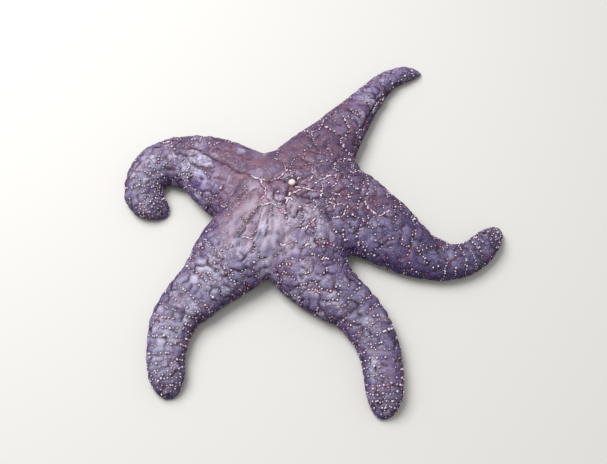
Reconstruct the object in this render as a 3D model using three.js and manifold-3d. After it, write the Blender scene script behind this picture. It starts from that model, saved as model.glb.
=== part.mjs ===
// An ochre sea star, life size, resting on its oral side: a domed central disc, the madreporite
// beside its middle, and five arms, each parted into three lengths by thin cuts. A furrow for the
// tube feet runs under every arm to the mouth. Millimetres, +Z up, the floor at z = 0.
import * as THREE from "three";
import { mergeVertices } from "three/addons/utils/BufferGeometryUtils.js";
import Module from "manifold-3d";

const wasm = await Module();
wasm.setup();

// ---------------------------------------------------------------- driving dimensions
const DISC_HEIGHT = 30;
const CUT = 0.3; // gap left between neighbouring lengths of flesh

// Where two arms part, seen from above: its direction in degrees and its distance from the centre.
const AXILS = [
  { bearing: 34.6, radius: 63 },
  { bearing: 103.5, radius: 42 },
  { bearing: 191.6, radius: 42 },
  { bearing: 259, radius: 52 },
  { bearing: 321.5, radius: 52 },
];

// Each arm's midline from the disc's centre to its tip, and its half width at every quarter of it.
const ARMS = [
  {
    name: "arm_1",
    midline: [[0, 0], [14, 22], [31, 47], [51, 78], [77, 111], [104, 122]],
    halfWidths: [28, 26, 17, 10, 6],
  },
  {
    name: "arm_2",
    midline: [[0, 0], [29, 4], [61, -13], [93, -35], [120, -36], [146, -12]],
    halfWidths: [30, 31.5, 22, 12.5, 9],
  },
  {
    name: "arm_3",
    midline: [[0, 0], [13, -28], [27, -53], [50, -75], [62, -101], [63, -140]],
    halfWidths: [28, 28.5, 18, 14, 11.5],
  },
  {
    name: "arm_4",
    midline: [[0, 0], [-20, -26], [-41, -51], [-61, -75], [-66, -100], [-62, -128]],
    halfWidths: [28, 28.5, 19.5, 14, 11.5],
  },
  {
    name: "arm_5",
    midline: [[0, 0], [-27, 17], [-57, 36], [-83, 34], [-92, 12], [-74, -3]],
    halfWidths: [28, 29, 22, 14.5, 11.5],
  },
];
const RIDGE = { base: 5.5, perHalfWidth: 0.7 }; // an arm's height from its half width
const START = 0.1; // share of the midline where an arm leaves the inside of the disc
const LENGTH_ENDS = [0.5, 0.75]; // shares of the midline where an arm is parted
const LENGTH_NAMES = ["inner", "middle", "tip"];
const ROUND_END = 0.88; // share of the midline where the blunt tip starts to round off
const LAST_SECTION = 0.9985; // share of the midline of an arm's last section, just short of its point

const FURROW = { halfWidth: 5, depth: 5, end: 0.95, tipShare: 0.45 };
const MOUTH = { radius: 9, depth: 7, sides: 20 };
const MADREPORITE = { x: 8.7, y: 6.5, radius: 2.4, rise: 1.1, seat: 2, sides: 16 };
const BELOW = 1; // how far a cutting solid reaches past the face that it opens

// ---------------------------------------------------------------- cross-section
const EQUATOR = 0.32; // height of the widest line, as a share of the whole height
const FULLNESS = 2.35; // exponent of the superellipse: 2 is an ellipse, more is boxier
const TOP_STEPS = 10;
// The underside from the margin in to the flat that carries the body: share of half width, of height.
const UNDERSIDE = [[0.94, 0.14], [0.81, 0.045], [0.56, 0]];
// One side of the furrow, a blunt gable, from below the floor up: share of half width, of depth.
const GABLE = [[1, -0.3], [0.85, 0.55], [0.35, 1]];
// The sieve plate from its rim to its middle: share of radius, of rise.
const BUTTON = [[1, 0.22], [0.82, 0.55], [0.45, 1], [0, 1.05]];

/** A point of the domed upper side, as shares of half width and height, at an angle from 0 to PI. */
function dome(angle) {
  const bend = (x) => Math.sign(x) * Math.abs(x) ** (2 / FULLNESS);
  return [bend(Math.cos(angle)), EQUATOR + (1 - EQUATOR) * bend(Math.sin(angle))];
}

/** The closed outline of an arm's section, anticlockwise seen from its tip. */
function armSection() {
  const top = Array.from({ length: TOP_STEPS + 1 }, (_, i) => dome((Math.PI * i) / TOP_STEPS));
  const left = UNDERSIDE.map(([across, up]) => [-across, up]);
  return [...top, ...left, ...[...UNDERSIDE].reverse()];
}

/** The closed outline of the furrow's section. */
function furrowSection() {
  return [...GABLE, ...GABLE.map(([across, up]) => [-across, up]).reverse()];
}

// ---------------------------------------------------------------- solids
/** A closed surface through rings of equal length, its first and last ring closed by a fan. */
function skinned(rings) {
  const count = rings[0].length;
  const points = rings.flat();
  const faces = [];
  for (let ring = 0; ring + 1 < rings.length; ring++) {
    for (let i = 0; i < count; i++) {
      const [a, b] = [ring * count + i, ring * count + ((i + 1) % count)];
      faces.push(a, b, b + count, a, b + count, a + count);
    }
  }
  for (const [start, flip] of [[0, true], [(rings.length - 1) * count, false]]) {
    const middle = new THREE.Vector3();
    for (let i = 0; i < count; i++) middle.add(points[start + i]);
    points.push(middle.divideScalar(count));
    for (let i = 0; i < count; i++) {
      const [a, b] = [start + i, start + ((i + 1) % count)];
      faces.push(points.length - 1, ...(flip ? [b, a] : [a, b]));
    }
  }
  return new THREE.BufferGeometry().setFromPoints(points).setIndex(faces);
}

/** A three.js geometry as a manifold-3d solid. */
function solid(geometry) {
  geometry.deleteAttribute("normal");
  geometry.deleteAttribute("uv");
  const merged = mergeVertices(geometry, 1e-4);
  return new wasm.Manifold(new wasm.Mesh({
    numProp: 3,
    vertProperties: new Float32Array(merged.attributes.position.array),
    triVerts: new Uint32Array(merged.index.array),
  }));
}

/** A manifold-3d solid as a three.js geometry. */
function geometryOf(body) {
  const mesh = body.getMesh();
  return new THREE.BufferGeometry()
    .setAttribute("position", new THREE.BufferAttribute(mesh.vertProperties, 3))
    .setIndex(new THREE.BufferAttribute(mesh.triVerts, 1));
}

// ---------------------------------------------------------------- arms
/** The smooth value, at a share of the way along, of numbers given at even steps. */
function along(values, share) {
  const knots = values.map((value, i) => new THREE.Vector3(i, value, 0));
  return new THREE.CatmullRomCurve3(knots, false, "catmullrom", 0.5).getPoint(share).y;
}

/** How much of its full girth an arm keeps at a share of its midline: all of it up to the tip's round. */
function tipRound(share) {
  const past = Math.max(0, (share - ROUND_END) / (1 - ROUND_END));
  return Math.sqrt(Math.max(0, 1 - past ** 2));
}

function midlineOf(arm) {
  const points = arm.midline.map(([x, y]) => new THREE.Vector3(x, y, 0));
  return new THREE.CatmullRomCurve3(points, false, "catmullrom", 0.5);
}

/** A section's outline set square across a midline: shares times half width and height. */
function ringAt(midline, share, outline, halfWidth, height) {
  const centre = midline.getPointAt(share);
  const ahead = midline.getTangentAt(share);
  const left = new THREE.Vector3(-ahead.y, ahead.x, 0);
  return outline.map(([across, up]) =>
    centre.clone().addScaledVector(left, across * halfWidth).setZ(up * height));
}

/** Shares of the midline where the arm has a section: even at first, closer where the tip rounds off. */
function stations() {
  const EVEN = 18;
  const ROUNDING = 6;
  const even = Array.from({ length: EVEN }, (_, i) =>
    THREE.MathUtils.lerp(START, ROUND_END, i / EVEN));
  const round = Array.from({ length: ROUNDING }, (_, i) =>
    ROUND_END + (1 - ROUND_END) * Math.sin((Math.PI / 2) * (i / ROUNDING)));
  return [...even, ...round, LAST_SECTION];
}

function armFlesh(arm) {
  const midline = midlineOf(arm);
  return solid(skinned(stations().map((share) => {
    const halfWidth = along(arm.halfWidths, share);
    const height = RIDGE.base + RIDGE.perHalfWidth * halfWidth;
    const girth = tipRound(share);
    return ringAt(midline, share, armSection(), halfWidth * girth, height * girth);
  })));
}

function furrow(arm) {
  const STEPS = 18;
  const midline = midlineOf(arm);
  const rings = Array.from({ length: STEPS + 1 }, (_, i) => {
    const size = THREE.MathUtils.lerp(1, FURROW.tipShare, i / STEPS);
    const share = (FURROW.end * i) / STEPS;
    return ringAt(midline, share, furrowSection(), FURROW.halfWidth * size, FURROW.depth * size);
  });
  return solid(skinned(rings));
}

// ---------------------------------------------------------------- disc
/** The disc's radius in a direction, in radians: it eases from each axil's to the next one's. */
function discRadius(bearing) {
  const degrees = THREE.MathUtils.euclideanModulo(THREE.MathUtils.radToDeg(bearing), 360);
  for (let i = 0; i < AXILS.length; i++) {
    const [here, next] = [AXILS[i], AXILS[(i + 1) % AXILS.length]];
    const span = THREE.MathUtils.euclideanModulo(next.bearing - here.bearing, 360);
    const past = THREE.MathUtils.euclideanModulo(degrees - here.bearing, 360);
    if (past <= span) {
      const ease = THREE.MathUtils.smoothstep(past / span, 0, 1);
      return THREE.MathUtils.lerp(here.radius, next.radius, ease);
    }
  }
  return AXILS[0].radius;
}

function discFlesh() {
  const AROUND = 40;
  const UP = 6;
  const under = [...UNDERSIDE].reverse();
  const over = Array.from({ length: UP }, (_, i) => dome((Math.PI / 2) * (i / UP)));
  const rings = [...under, ...over].map(([out, up]) =>
    Array.from({ length: AROUND }, (_, i) => {
      const bearing = (2 * Math.PI * i) / AROUND;
      const radius = discRadius(bearing) * out;
      return new THREE.Vector3(
        radius * Math.cos(bearing), radius * Math.sin(bearing), up * DISC_HEIGHT);
    }));
  return solid(skinned(rings));
}

/** The upright prism that divides the disc from the arms, its corners at the axils, grown outwards. */
function discPrism(grown) {
  const PAST_AXIL = 8;
  const corners = AXILS.map(({ bearing, radius }) => new THREE.Vector2(1, 0)
    .multiplyScalar(radius + PAST_AXIL + grown)
    .rotateAround(new THREE.Vector2(), THREE.MathUtils.degToRad(bearing)));
  const prism = new THREE.ExtrudeGeometry(new THREE.Shape(corners), {
    depth: 3 * DISC_HEIGHT,
    bevelEnabled: false,
  });
  return solid(prism.translate(0, 0, -DISC_HEIGHT));
}

function mouthHollow() {
  const STEPS = 4;
  const outline = [[0, -BELOW], [MOUTH.radius, -BELOW]];
  for (let i = 0; i <= STEPS; i++) {
    const angle = (Math.PI / 2) * (i / STEPS);
    outline.push([MOUTH.radius * Math.cos(angle), MOUTH.depth * Math.sin(angle)]);
  }
  outline[outline.length - 1][0] = 0;
  return lathed(outline, MOUTH.sides);
}

// ---------------------------------------------------------------- madreporite
/** A solid turned about Z from its outline of [radius, height] pairs, from the bottom up. */
function lathed(outline, sides) {
  const profile = outline.map(([radius, height]) => new THREE.Vector2(radius, height));
  return solid(new THREE.LatheGeometry(profile, sides).rotateX(Math.PI / 2));
}

/** The height of the flesh right above a point of the floor. */
function heightAbove(flesh, x, y) {
  const NEEDLE = 0.05;
  const probe = new THREE.BoxGeometry(NEEDLE, NEEDLE, 4 * DISC_HEIGHT).translate(x, y, 0);
  return solid(probe).intersect(flesh).boundingBox().max[2];
}

/** The sieve plate: a low button whose foot stands in a pocket in the disc. */
function madreporitePieces(flesh) {
  const { x, y, radius, rise, seat, sides } = MADREPORITE;
  const level = heightAbove(flesh, x, y);
  const upper = BUTTON.map(([out, up]) => [out * radius, up * rise]);
  const button = lathed([[0, -seat], [radius, -seat], ...upper], sides);
  const [wall, floor, top] = [radius + CUT, -seat - CUT, rise + BELOW];
  const pocket = lathed([[0, floor], [wall, floor], [wall, top], [0, top]], sides);
  return { button: button.translate([x, y, level]), pocket: pocket.translate([x, y, level]) };
}

// ---------------------------------------------------------------- assembly
/** A thin upright slab across an arm, which parts one length of it from the next. */
function partingSlab(arm, share) {
  const HALF_WIDTHS = 2.3; // the slab's length in half widths, so that it passes both margins
  const midline = midlineOf(arm);
  const centre = midline.getPointAt(share);
  const ahead = midline.getTangentAt(share);
  const reach = HALF_WIDTHS * along(arm.halfWidths, share);
  const slab = new THREE.BoxGeometry(CUT, reach, 4 * DISC_HEIGHT);
  slab.rotateZ(Math.atan2(ahead.y, ahead.x)).translate(centre.x, centre.y, 0);
  return solid(slab);
}

/** The share of an arm's midline that lies nearest to the middle of a solid. */
function shareNear(arm, body) {
  const SAMPLES = 100;
  const { min, max } = body.boundingBox();
  const middle = new THREE.Vector3((min[0] + max[0]) / 2, (min[1] + max[1]) / 2, 0);
  const points = midlineOf(arm).getSpacedPoints(SAMPLES);
  const gaps = points.map((point) => point.distanceTo(middle));
  return { share: gaps.indexOf(Math.min(...gaps)) / SAMPLES, gap: Math.min(...gaps) };
}

const aboral = new THREE.MeshStandardMaterial({ color: 0x6a5a80, roughness: 0.5 });
const innerAboral = new THREE.MeshStandardMaterial({ color: 0x7a6688, roughness: 0.5 });
const sieve = new THREE.MeshStandardMaterial({ color: 0xf0dcc0, roughness: 0.7 });

const group = new THREE.Group();

function addMesh(name, body, material) {
  const mesh = new THREE.Mesh(geometryOf(body), material);
  mesh.name = name;
  group.add(mesh);
}

let flesh = discFlesh();
for (const arm of ARMS) flesh = flesh.add(armFlesh(arm));
for (const arm of ARMS) flesh = flesh.subtract(furrow(arm));
flesh = flesh.subtract(mouthHollow());

const madreporite = madreporitePieces(flesh);
flesh = flesh.subtract(madreporite.pocket);
addMesh("madreporite", madreporite.button, sieve);
addMesh("disc", flesh.intersect(discPrism(0)), innerAboral);

let arms = flesh.subtract(discPrism(CUT));
for (const arm of ARMS) {
  for (const share of LENGTH_ENDS) arms = arms.subtract(partingSlab(arm, share));
}
const lengths = arms.decompose();
for (const arm of ARMS) {
  const own = lengths
    .map((body) => ({ body, ...shareNear(arm, body) }))
    .filter(({ body, gap }) => ARMS.every((other) => shareNear(other, body).gap >= gap))
    .sort((a, b) => a.share - b.share);
  own.forEach(({ body }, i) => addMesh(`${arm.name}_${LENGTH_NAMES[i]}`, body, aboral));
}

// The origin is on the floor, in the middle of the rectangle that the star covers.
const footprint = new THREE.Box3().setFromObject(group).getCenter(new THREE.Vector3());
group.position.set(-footprint.x, -footprint.y, 0);

export default group;
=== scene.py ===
"""An ochre sea star, life size, resting on its mouth side. Metres, +Z up.

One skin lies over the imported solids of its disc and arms, with the net of spines and grains on it, its sieve
plate, and the furrows, tube feet and mouth underneath.
"""

import logging  # noqa: E402
import math  # noqa: E402
from dataclasses import dataclass, field  # noqa: E402
from enum import Enum  # noqa: E402

import bmesh  # noqa: E402
import bpy  # noqa: E402
import numpy as np  # noqa: E402
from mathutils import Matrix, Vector  # noqa: E402
from mathutils.bvhtree import BVHTree  # noqa: E402
from mathutils.kdtree import KDTree  # noqa: E402

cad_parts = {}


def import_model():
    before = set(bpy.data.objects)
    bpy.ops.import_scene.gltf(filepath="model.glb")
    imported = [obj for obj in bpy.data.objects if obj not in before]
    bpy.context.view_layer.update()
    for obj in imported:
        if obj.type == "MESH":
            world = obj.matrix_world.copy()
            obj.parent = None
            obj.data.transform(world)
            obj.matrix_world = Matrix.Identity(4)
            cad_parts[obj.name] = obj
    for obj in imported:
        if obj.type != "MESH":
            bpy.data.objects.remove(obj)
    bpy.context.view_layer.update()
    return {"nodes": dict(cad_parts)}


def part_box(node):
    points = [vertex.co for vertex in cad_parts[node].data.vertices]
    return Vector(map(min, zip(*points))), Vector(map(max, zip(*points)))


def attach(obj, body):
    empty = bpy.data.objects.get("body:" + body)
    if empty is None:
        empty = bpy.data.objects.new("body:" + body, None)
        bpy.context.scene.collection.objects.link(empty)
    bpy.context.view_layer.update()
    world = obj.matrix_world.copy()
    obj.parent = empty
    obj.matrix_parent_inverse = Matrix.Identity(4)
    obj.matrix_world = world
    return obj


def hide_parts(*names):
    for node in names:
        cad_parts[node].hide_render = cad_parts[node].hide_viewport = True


log = logging.getLogger("sea_star")
MM = 0.001
PATH_STEP = 0.5 * MM
Array = np.ndarray
Colour = tuple[float, float, float, float]
Socket = bpy.types.NodeSocket
Inputs = dict[str | int, object]
Range = tuple[float, float]


# ---------------------------------------------------------------- small tools
def srgb(red: float, green: float, blue: float) -> Colour:
    """A colour as on a paint chart, as the linear values that shaders take.

    Args:
        red, green, blue: the colour's channels, 0 to 255.

    Returns:
        The linear colour with an alpha of 1.
    """
    def linear(value: float) -> float:
        """One channel as its linear value."""
        share = value / 255
        return share / 12.92 if share <= 0.04045 else ((share + 0.055) / 1.055) ** 2.4

    return linear(red), linear(green), linear(blue), 1.0


def eased(low: float, high: float, values: Array) -> Array:
    """Values eased from 0 at low to 1 at high, whichever of the two is larger."""
    share = np.clip((values - low) / (high - low), 0, 1)
    return share * share * (3 - 2 * share)


def bell(values: Array, width: float) -> Array:
    """A smooth hump that is 1 where values are 0 and fades over a width."""
    return np.exp(-((values / width) ** 2))


def within(bearings: Array, start: float, end: float, soft: float = 10) -> Array:
    """1 between two bearings in degrees, eased to 0 outside them."""
    half = (end - start) / 2
    return eased(half, half - soft, np.abs((bearings - (start + end) / 2 + 180) % 360 - 180))


def lengths(vectors: Array) -> Array:
    """The length of each row."""
    return np.linalg.norm(vectors, axis=1)


def unit(vectors: Array) -> Array:
    """Rows of vectors, each made one long."""
    return vectors / np.maximum(lengths(vectors), 1e-12)[:, None]


def cell_value(cells: Array, seed: int) -> Array:
    """A repeatable number from -1 to 1 for each whole-numbered cell of space.

    Args:
        cells: n x 3 whole numbers.
        seed: picks one of many such patterns.

    Returns:
        n numbers.
    """
    keys = cells.astype(np.int64).astype(np.uint64)
    mixed = keys[:, 0] * np.uint64(73856093) ^ keys[:, 1] * np.uint64(19349663)
    mixed ^= keys[:, 2] * np.uint64(83492791) ^ np.uint64(seed * 2654435761)
    mixed ^= mixed >> np.uint64(13)
    mixed *= np.uint64(0x9E3779B97F4A7C15)
    mixed ^= mixed >> np.uint64(29)
    return (mixed >> np.uint64(40)).astype(float) / 2**23 - 1


def noise(points: Array, size: float, seed: int, octaves: int = 2) -> Array:
    """Smooth lumps of a given size through space, about -1 to 1.

    Args:
        points: n x 3 places.
        size: the distance between lumps.
        seed: picks the pattern.
        octaves: how many layers there are, each half the size and strength of the last.

    Returns:
        n numbers.
    """
    total, strength = np.zeros(len(points)), 1.0
    for octave in range(octaves):
        at = points / (size / 2**octave) + 100.5 * (octave + 1)
        low = np.floor(at)
        share = at - low
        share = share * share * (3 - 2 * share)
        for corner in np.ndindex(2, 2, 2):
            weight = np.prod(np.where(corner, share, 1 - share), axis=1)
            total += strength * weight * cell_value(low + corner, seed + octave)
        strength /= 2
    return total


def warps(points: Array, size: float, *seeds: int) -> Array:
    """One column of noise for each seed."""
    return np.stack([noise(points, size, seed) for seed in seeds], 1)


def tree_of(points: Array) -> KDTree:
    """A search tree over n x 3 points.

    Args:
        points: n x 3 places.

    Returns:
        The tree, ready to search.
    """
    tree = KDTree(len(points))
    for i, point in enumerate(points):
        tree.insert(point, i)
    tree.balance()
    return tree


def nearest(tree: KDTree, points: Array) -> tuple[Array, Array]:
    """For each point, the index of a tree's nearest point and how far off it is."""
    found = [tree.find(point)[1:] for point in points]
    return np.array([one[0] for one in found]), np.array([one[1] for one in found])


def smooth_curve(knots: Array, count: int) -> Array:
    """Points at even steps of the smooth curve through evenly spaced knots.

    Args:
        knots: m x k values that the curve passes through.
        count: how many points to give.

    Returns:
        count x k values.
    """
    ends = np.vstack([2 * knots[0] - knots[1], knots, 2 * knots[-1] - knots[-2]])
    at = np.linspace(0, len(knots) - 1 - 1e-9, count)
    first = at.astype(int)
    t = (at - first)[:, None]
    a, b, c, d = (ends[first + i] for i in range(4))
    return 0.5 * (2 * b + (c - a) * t + (2 * a - 5 * b + 4 * c - d) * t**2 + (3 * b - a - 3 * c + d) * t**3)


def run_of(path: Array) -> Array:
    """How far along a path each of its points is."""
    return np.r_[0, np.cumsum(lengths(np.diff(path, axis=0)))]


def sampled(rows: Array, run: Array, at: Array) -> Array:
    """Rows of values that are known at each run along a path, read off at other places along it."""
    return np.stack([np.interp(at, run, column) for column in rows.T], 1)


def evened(path: Array, step: float) -> Array:
    """The same path with points at an even step.

    Args:
        path: n x k points.
        step: the distance between the new points.

    Returns:
        m x k points, with both ends kept.
    """
    run = run_of(path)
    even = np.linspace(0, run[-1], max(2, int(round(run[-1] / step)) + 1))
    return sampled(path, run, even)


def bearings_of(offsets: Array) -> Array:
    """The bearing of each offset in plan, 0 to 360 degrees."""
    return np.degrees(np.arctan2(offsets[:, 1], offsets[:, 0])) % 360


def leftward(ahead: Array) -> Array:
    """The way to the left of each way ahead, in plan."""
    return np.stack([-ahead[:, 1], ahead[:, 0]], 1)


def nearest_on(lookup: BVHTree, points: Array) -> Array:
    """The nearest places to some points on a surface."""
    return np.array([tuple(lookup.find_nearest(Vector(point))[0]) for point in points])


# ---------------------------------------------------------------- the body's plan
@dataclass(frozen=True)
class Arm:
    """One arm, in millimetres from the disc's centre, and its looks at the root and at the tip.

    Attributes:
        midline: its course on the floor.
        half_widths: half its width, at even steps from the root to the tip.
        rows_from: the share of its length from which its beads stand in rows.
        lightness: how light its skin is.
        warmth: how warm its skin's colour is.
        beaded: how closely its beads stand, against the other arms'.
    """

    midline: tuple[tuple[float, float], ...]
    half_widths: tuple[float, ...]
    rows_from: float
    lightness: tuple[float, float]
    warmth: tuple[float, float]
    beaded: float = 1.0


ARMS = (
    Arm(((0, 0), (14, 22), (31, 47), (51, 78), (77, 111), (104, 122)), (28, 26, 17, 10, 6),
        0.56, (0.24, 0.2), (0.55, 0.3), 0.5),
    Arm(((0, 0), (29, 4), (61, -13), (93, -35), (120, -36), (146, -12)), (30, 31.5, 22, 12.5, 9),
        0.7, (0.26, 0.12), (0.12, 0.0)),
    Arm(((0, 0), (13, -28), (27, -53), (50, -75), (62, -101), (63, -140)), (28, 28.5, 18, 14, 11.5),
        0.4, (0.5, 0.5), (0.15, 0.1)),
    Arm(((0, 0), (-20, -26), (-41, -51), (-61, -75), (-66, -100), (-62, -128)), (28, 28.5, 19.5, 14, 11.5),
        0.44, (0.72, 0.63), (0.1, 0.05)),
    Arm(((0, 0), (-27, 17), (-57, 36), (-83, 34), (-92, 12), (-74, -3)), (28, 29, 22, 14.5, 11.5),
        0.7, (0.52, 0.5), (0.35, 0.15)),
)


@dataclass
class Place:
    """Where points lie on the body.

    Attributes:
        arm: the index of the arm that each is nearest to.
        run: how far along its arm.
        share: the same, as a share of the arm's length.
        across: how far to the left of the arm's midline.
        turn: the turn round the arm's section in radians, 0 on the ridge and half a turn underneath.
        radius: how far from the disc's centre, in plan.
        bearing: the bearing from the disc's centre, in degrees.
    """

    arm: Array
    run: Array
    share: Array
    across: Array
    turn: Array
    radius: Array
    bearing: Array


def looks_of(arms: Array, key: str) -> Array:
    """What each point's own arm says of one of its looks."""
    return np.array([getattr(arm, key) for arm in ARMS])[arms]


@dataclass
class BodyPlan:
    """The star's plan: its centre, its arms' courses, and where a point lies among them."""

    sieve_offset: tuple[float, float] = (8.7 * MM, 6.5 * MM)
    belly: float = 0.32
    ridge_base: float = 5.5 * MM
    ridge_rise: float = 0.7
    steps: int = 160
    width_steps: int = 101
    batch: int = 20000
    centre: Array = field(init=False)
    courses: list[tuple[Array, Array]] = field(init=False)

    def __post_init__(self) -> None:
        """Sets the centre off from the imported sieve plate, and draws the arms' courses."""
        low, high = (np.array(corner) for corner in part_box("madreporite"))
        self.centre = ((low + high) / 2)[:2] - np.array(self.sieve_offset)
        self.courses = []
        for arm in ARMS:
            dense = smooth_curve(np.array(arm.midline, float) * MM, 8 * self.steps) + self.centre
            run = run_of(dense)
            even = np.linspace(0, run[-1], self.steps)
            self.courses.append((sampled(dense, run, even), even))

    def length(self, arm: int) -> float:
        """How long an arm is along its course, from the disc's centre."""
        return self.courses[arm][1][-1]

    def half_width(self, arm: int, share: Array) -> Array:
        """An arm's half width at shares of its length."""
        widths = smooth_curve(np.array(ARMS[arm].half_widths, float)[:, None] * MM, self.width_steps)[:, 0]
        return np.interp(share, np.linspace(0, 1, self.width_steps), widths)

    def height(self, arm: int, share: Array) -> Array:
        """An arm's height at shares of its length."""
        return self.ridge_base + self.ridge_rise * self.half_width(arm, share)

    def on_arm(self, arm: int, points: Array) -> tuple[Array, Array, Array, Array, Array]:
        """Where points lie relative to one arm.

        Args:
            arm: the arm's index.
            points: n x 3 places.

        Returns:
            Run along the arm, share of its length, distance to its left, turn round its section (0 on the
            ridge, a quarter at the margins, half underneath), and distance from the midline in half widths.
        """
        line, even = self.courses[arm]
        ahead = unit(np.gradient(line, axis=0))
        run, across, gap = np.empty(len(points)), np.empty(len(points)), np.empty(len(points))
        for start in range(0, len(points), self.batch):
            part = slice(start, start + self.batch)
            gaps = ((points[part, None, :2] - line[None]) ** 2).sum(2)
            near = gaps.argmin(1)
            off, forward = points[part, :2] - line[near], ahead[near]
            run[part] = even[near] + (off * forward).sum(1)
            across[part] = off[:, 1] * forward[:, 0] - off[:, 0] * forward[:, 1]
            gap[part] = np.sqrt(gaps.min(1))
        share = np.clip(run / even[-1], 0, 1.05)
        inside = np.clip(share, 0, 1)
        turn = np.arctan2(across, points[:, 2] - self.belly * self.height(arm, inside))
        return run, share, across, turn, gap / self.half_width(arm, inside)

    def locate(self, points: Array) -> Place:
        """Every point's place on the arm whose midline it is nearest to, for that arm's width.

        Args:
            points: n x 3 places.

        Returns:
            Their places on the body.
        """
        found = np.array([self.on_arm(arm, points) for arm in range(len(ARMS))])
        best = found[:, 4].argmin(0)
        run, share, across, turn, _ = found[best, :, np.arange(len(points))].T
        off = points[:, :2] - self.centre
        return Place(best, run, share, across, turn, lengths(off), bearings_of(off))

    def section_point(self, arm: int, run: Array, turn: Array) -> Array:
        """Points near an arm's surface, at runs along it and turns round it.

        Args:
            arm: the arm's index.
            run: how far along its midline each lies.
            turn: the turn round its section, 0 on the ridge.

        Returns:
            n x 3 points.
        """
        line, even = self.courses[arm]
        ahead = unit(np.gradient(line, axis=0))
        share = np.clip(run / even[-1], 0, 1)
        wide, high = self.half_width(arm, share), self.height(arm, share)
        middle, left = sampled(line, even, run), leftward(sampled(ahead, even, run))
        rise = np.where(np.abs(turn) < np.pi / 2, (1 - self.belly) * high, self.belly * high)
        level = self.belly * high + rise * np.cos(turn)
        return np.c_[middle + left * (wide * np.sin(turn))[:, None], np.maximum(level, 0)]


# ---------------------------------------------------------------- surfaces
@dataclass
class Surface:
    """A closed surface of quads."""

    points: Array
    quads: Array

    def __post_init__(self) -> None:
        """Finds the edges, each once."""
        pairs = np.concatenate([self.quads[:, [i, (i + 1) % 4]] for i in range(4)])
        self.edges = np.unique(np.sort(pairs, axis=1), axis=0)
        self.valence = np.bincount(self.edges.ravel(), minlength=len(self.points)).astype(float)

    def lookup(self) -> BVHTree:
        """A tree that finds places on the surface."""
        return BVHTree.FromPolygons(self.points.tolist(), self.quads.tolist())

    def normals(self) -> Array:
        """Each point's outward direction.

        Returns:
            One unit vector for each point.
        """
        corners = self.points[self.quads]
        facing = np.cross(corners[:, 2] - corners[:, 0], corners[:, 3] - corners[:, 1])
        spread = self.quads.ravel()
        return unit(np.stack([np.bincount(spread, np.repeat(column, 4), len(self.points))
                              for column in facing.T], 1))

    def averaged(self, values: Array) -> Array:
        """Each point's mean of its neighbours' values.

        Args:
            values: one row for each point.

        Returns:
            The means, in the same shape.
        """
        flat = values.reshape(len(values), -1)
        a, b = self.edges.T
        total = np.stack([np.bincount(a, column[b], len(flat)) + np.bincount(b, column[a], len(flat))
                          for column in flat.T], 1)
        return (total / self.valence[:, None]).reshape(values.shape)

    def smooth(self, values: Array, rounds: int, give_back: float = 0.0) -> Array:
        """Values eased towards their neighbours' mean.

        Args:
            values: one row for each point.
            rounds: how many times.
            give_back: how far each round is then pushed back out, so that a shape doesn't shrink.

        Returns:
            The eased values.
        """
        for _ in range(rounds):
            values = values + 0.5 * (self.averaged(values) - values)
            if give_back:
                values = values - give_back * (self.averaged(values) - values)
        return values


def evaluated_mesh(thing: bpy.types.Object) -> bpy.types.Mesh:
    """A plain mesh of an object as its modifiers leave it."""
    graph = bpy.context.evaluated_depsgraph_get()
    return bpy.data.meshes.new_from_object(thing.evaluated_get(graph), preserve_all_data_layers=True,
                                           depsgraph=graph)


def new_object(name: str, mesh: bpy.types.Mesh) -> bpy.types.Object:
    """A mesh as an object in the scene.

    Args:
        name: the object's name.
        mesh: its mesh.

    Returns:
        The object.
    """
    made = bpy.data.objects.new(name, mesh)
    bpy.context.scene.collection.objects.link(made)
    return made


def shade_smooth(mesh: bpy.types.Mesh) -> None:
    """Shades all of a mesh's faces smooth."""
    mesh.polygons.foreach_set("use_smooth", np.ones(len(mesh.polygons), bool))


def corner_points(mesh: bpy.types.Mesh) -> Array:
    """The point at each corner of a mesh's faces.

    Args:
        mesh: the mesh.

    Returns:
        The points' indices, face by face.
    """
    corners = np.empty(len(mesh.loops), int)
    mesh.loops.foreach_get("vertex_index", corners)
    return corners


def put_map(mesh: bpy.types.Mesh, flat: Array) -> None:
    """Gives a mesh its OFBake map, a place on the unit square for each corner."""
    mesh.uv_layers.new(name="OFBake").data.foreach_set("uv", flat.astype(np.float32).ravel())


def put_attribute(mesh: bpy.types.Mesh, name: str, values: Array) -> None:
    """Stores a value for each of a mesh's points.

    Args:
        mesh: the mesh.
        name: the attribute's name.
        values: a number or three for each point.
    """
    single = values.ndim == 1
    layer = mesh.attributes.new(name, "FLOAT" if single else "FLOAT_VECTOR", "POINT")
    layer.data.foreach_set("value" if single else "vector", values.astype(np.float32).ravel())


def settle(piece: bpy.types.Object, slot: str, *nodes: str) -> bpy.types.Object:
    """Puts a finished piece on the body, and hides the solids that it stands for.

    Args:
        piece: the finished piece.
        slot: not used.
        nodes: the solids that it stands for, if any.

    Returns:
        The piece.
    """
    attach(piece, "root")
    if nodes:
        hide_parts(*nodes)
    log.info("%s: %d faces", piece.name, len(piece.data.polygons))
    return piece


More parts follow.
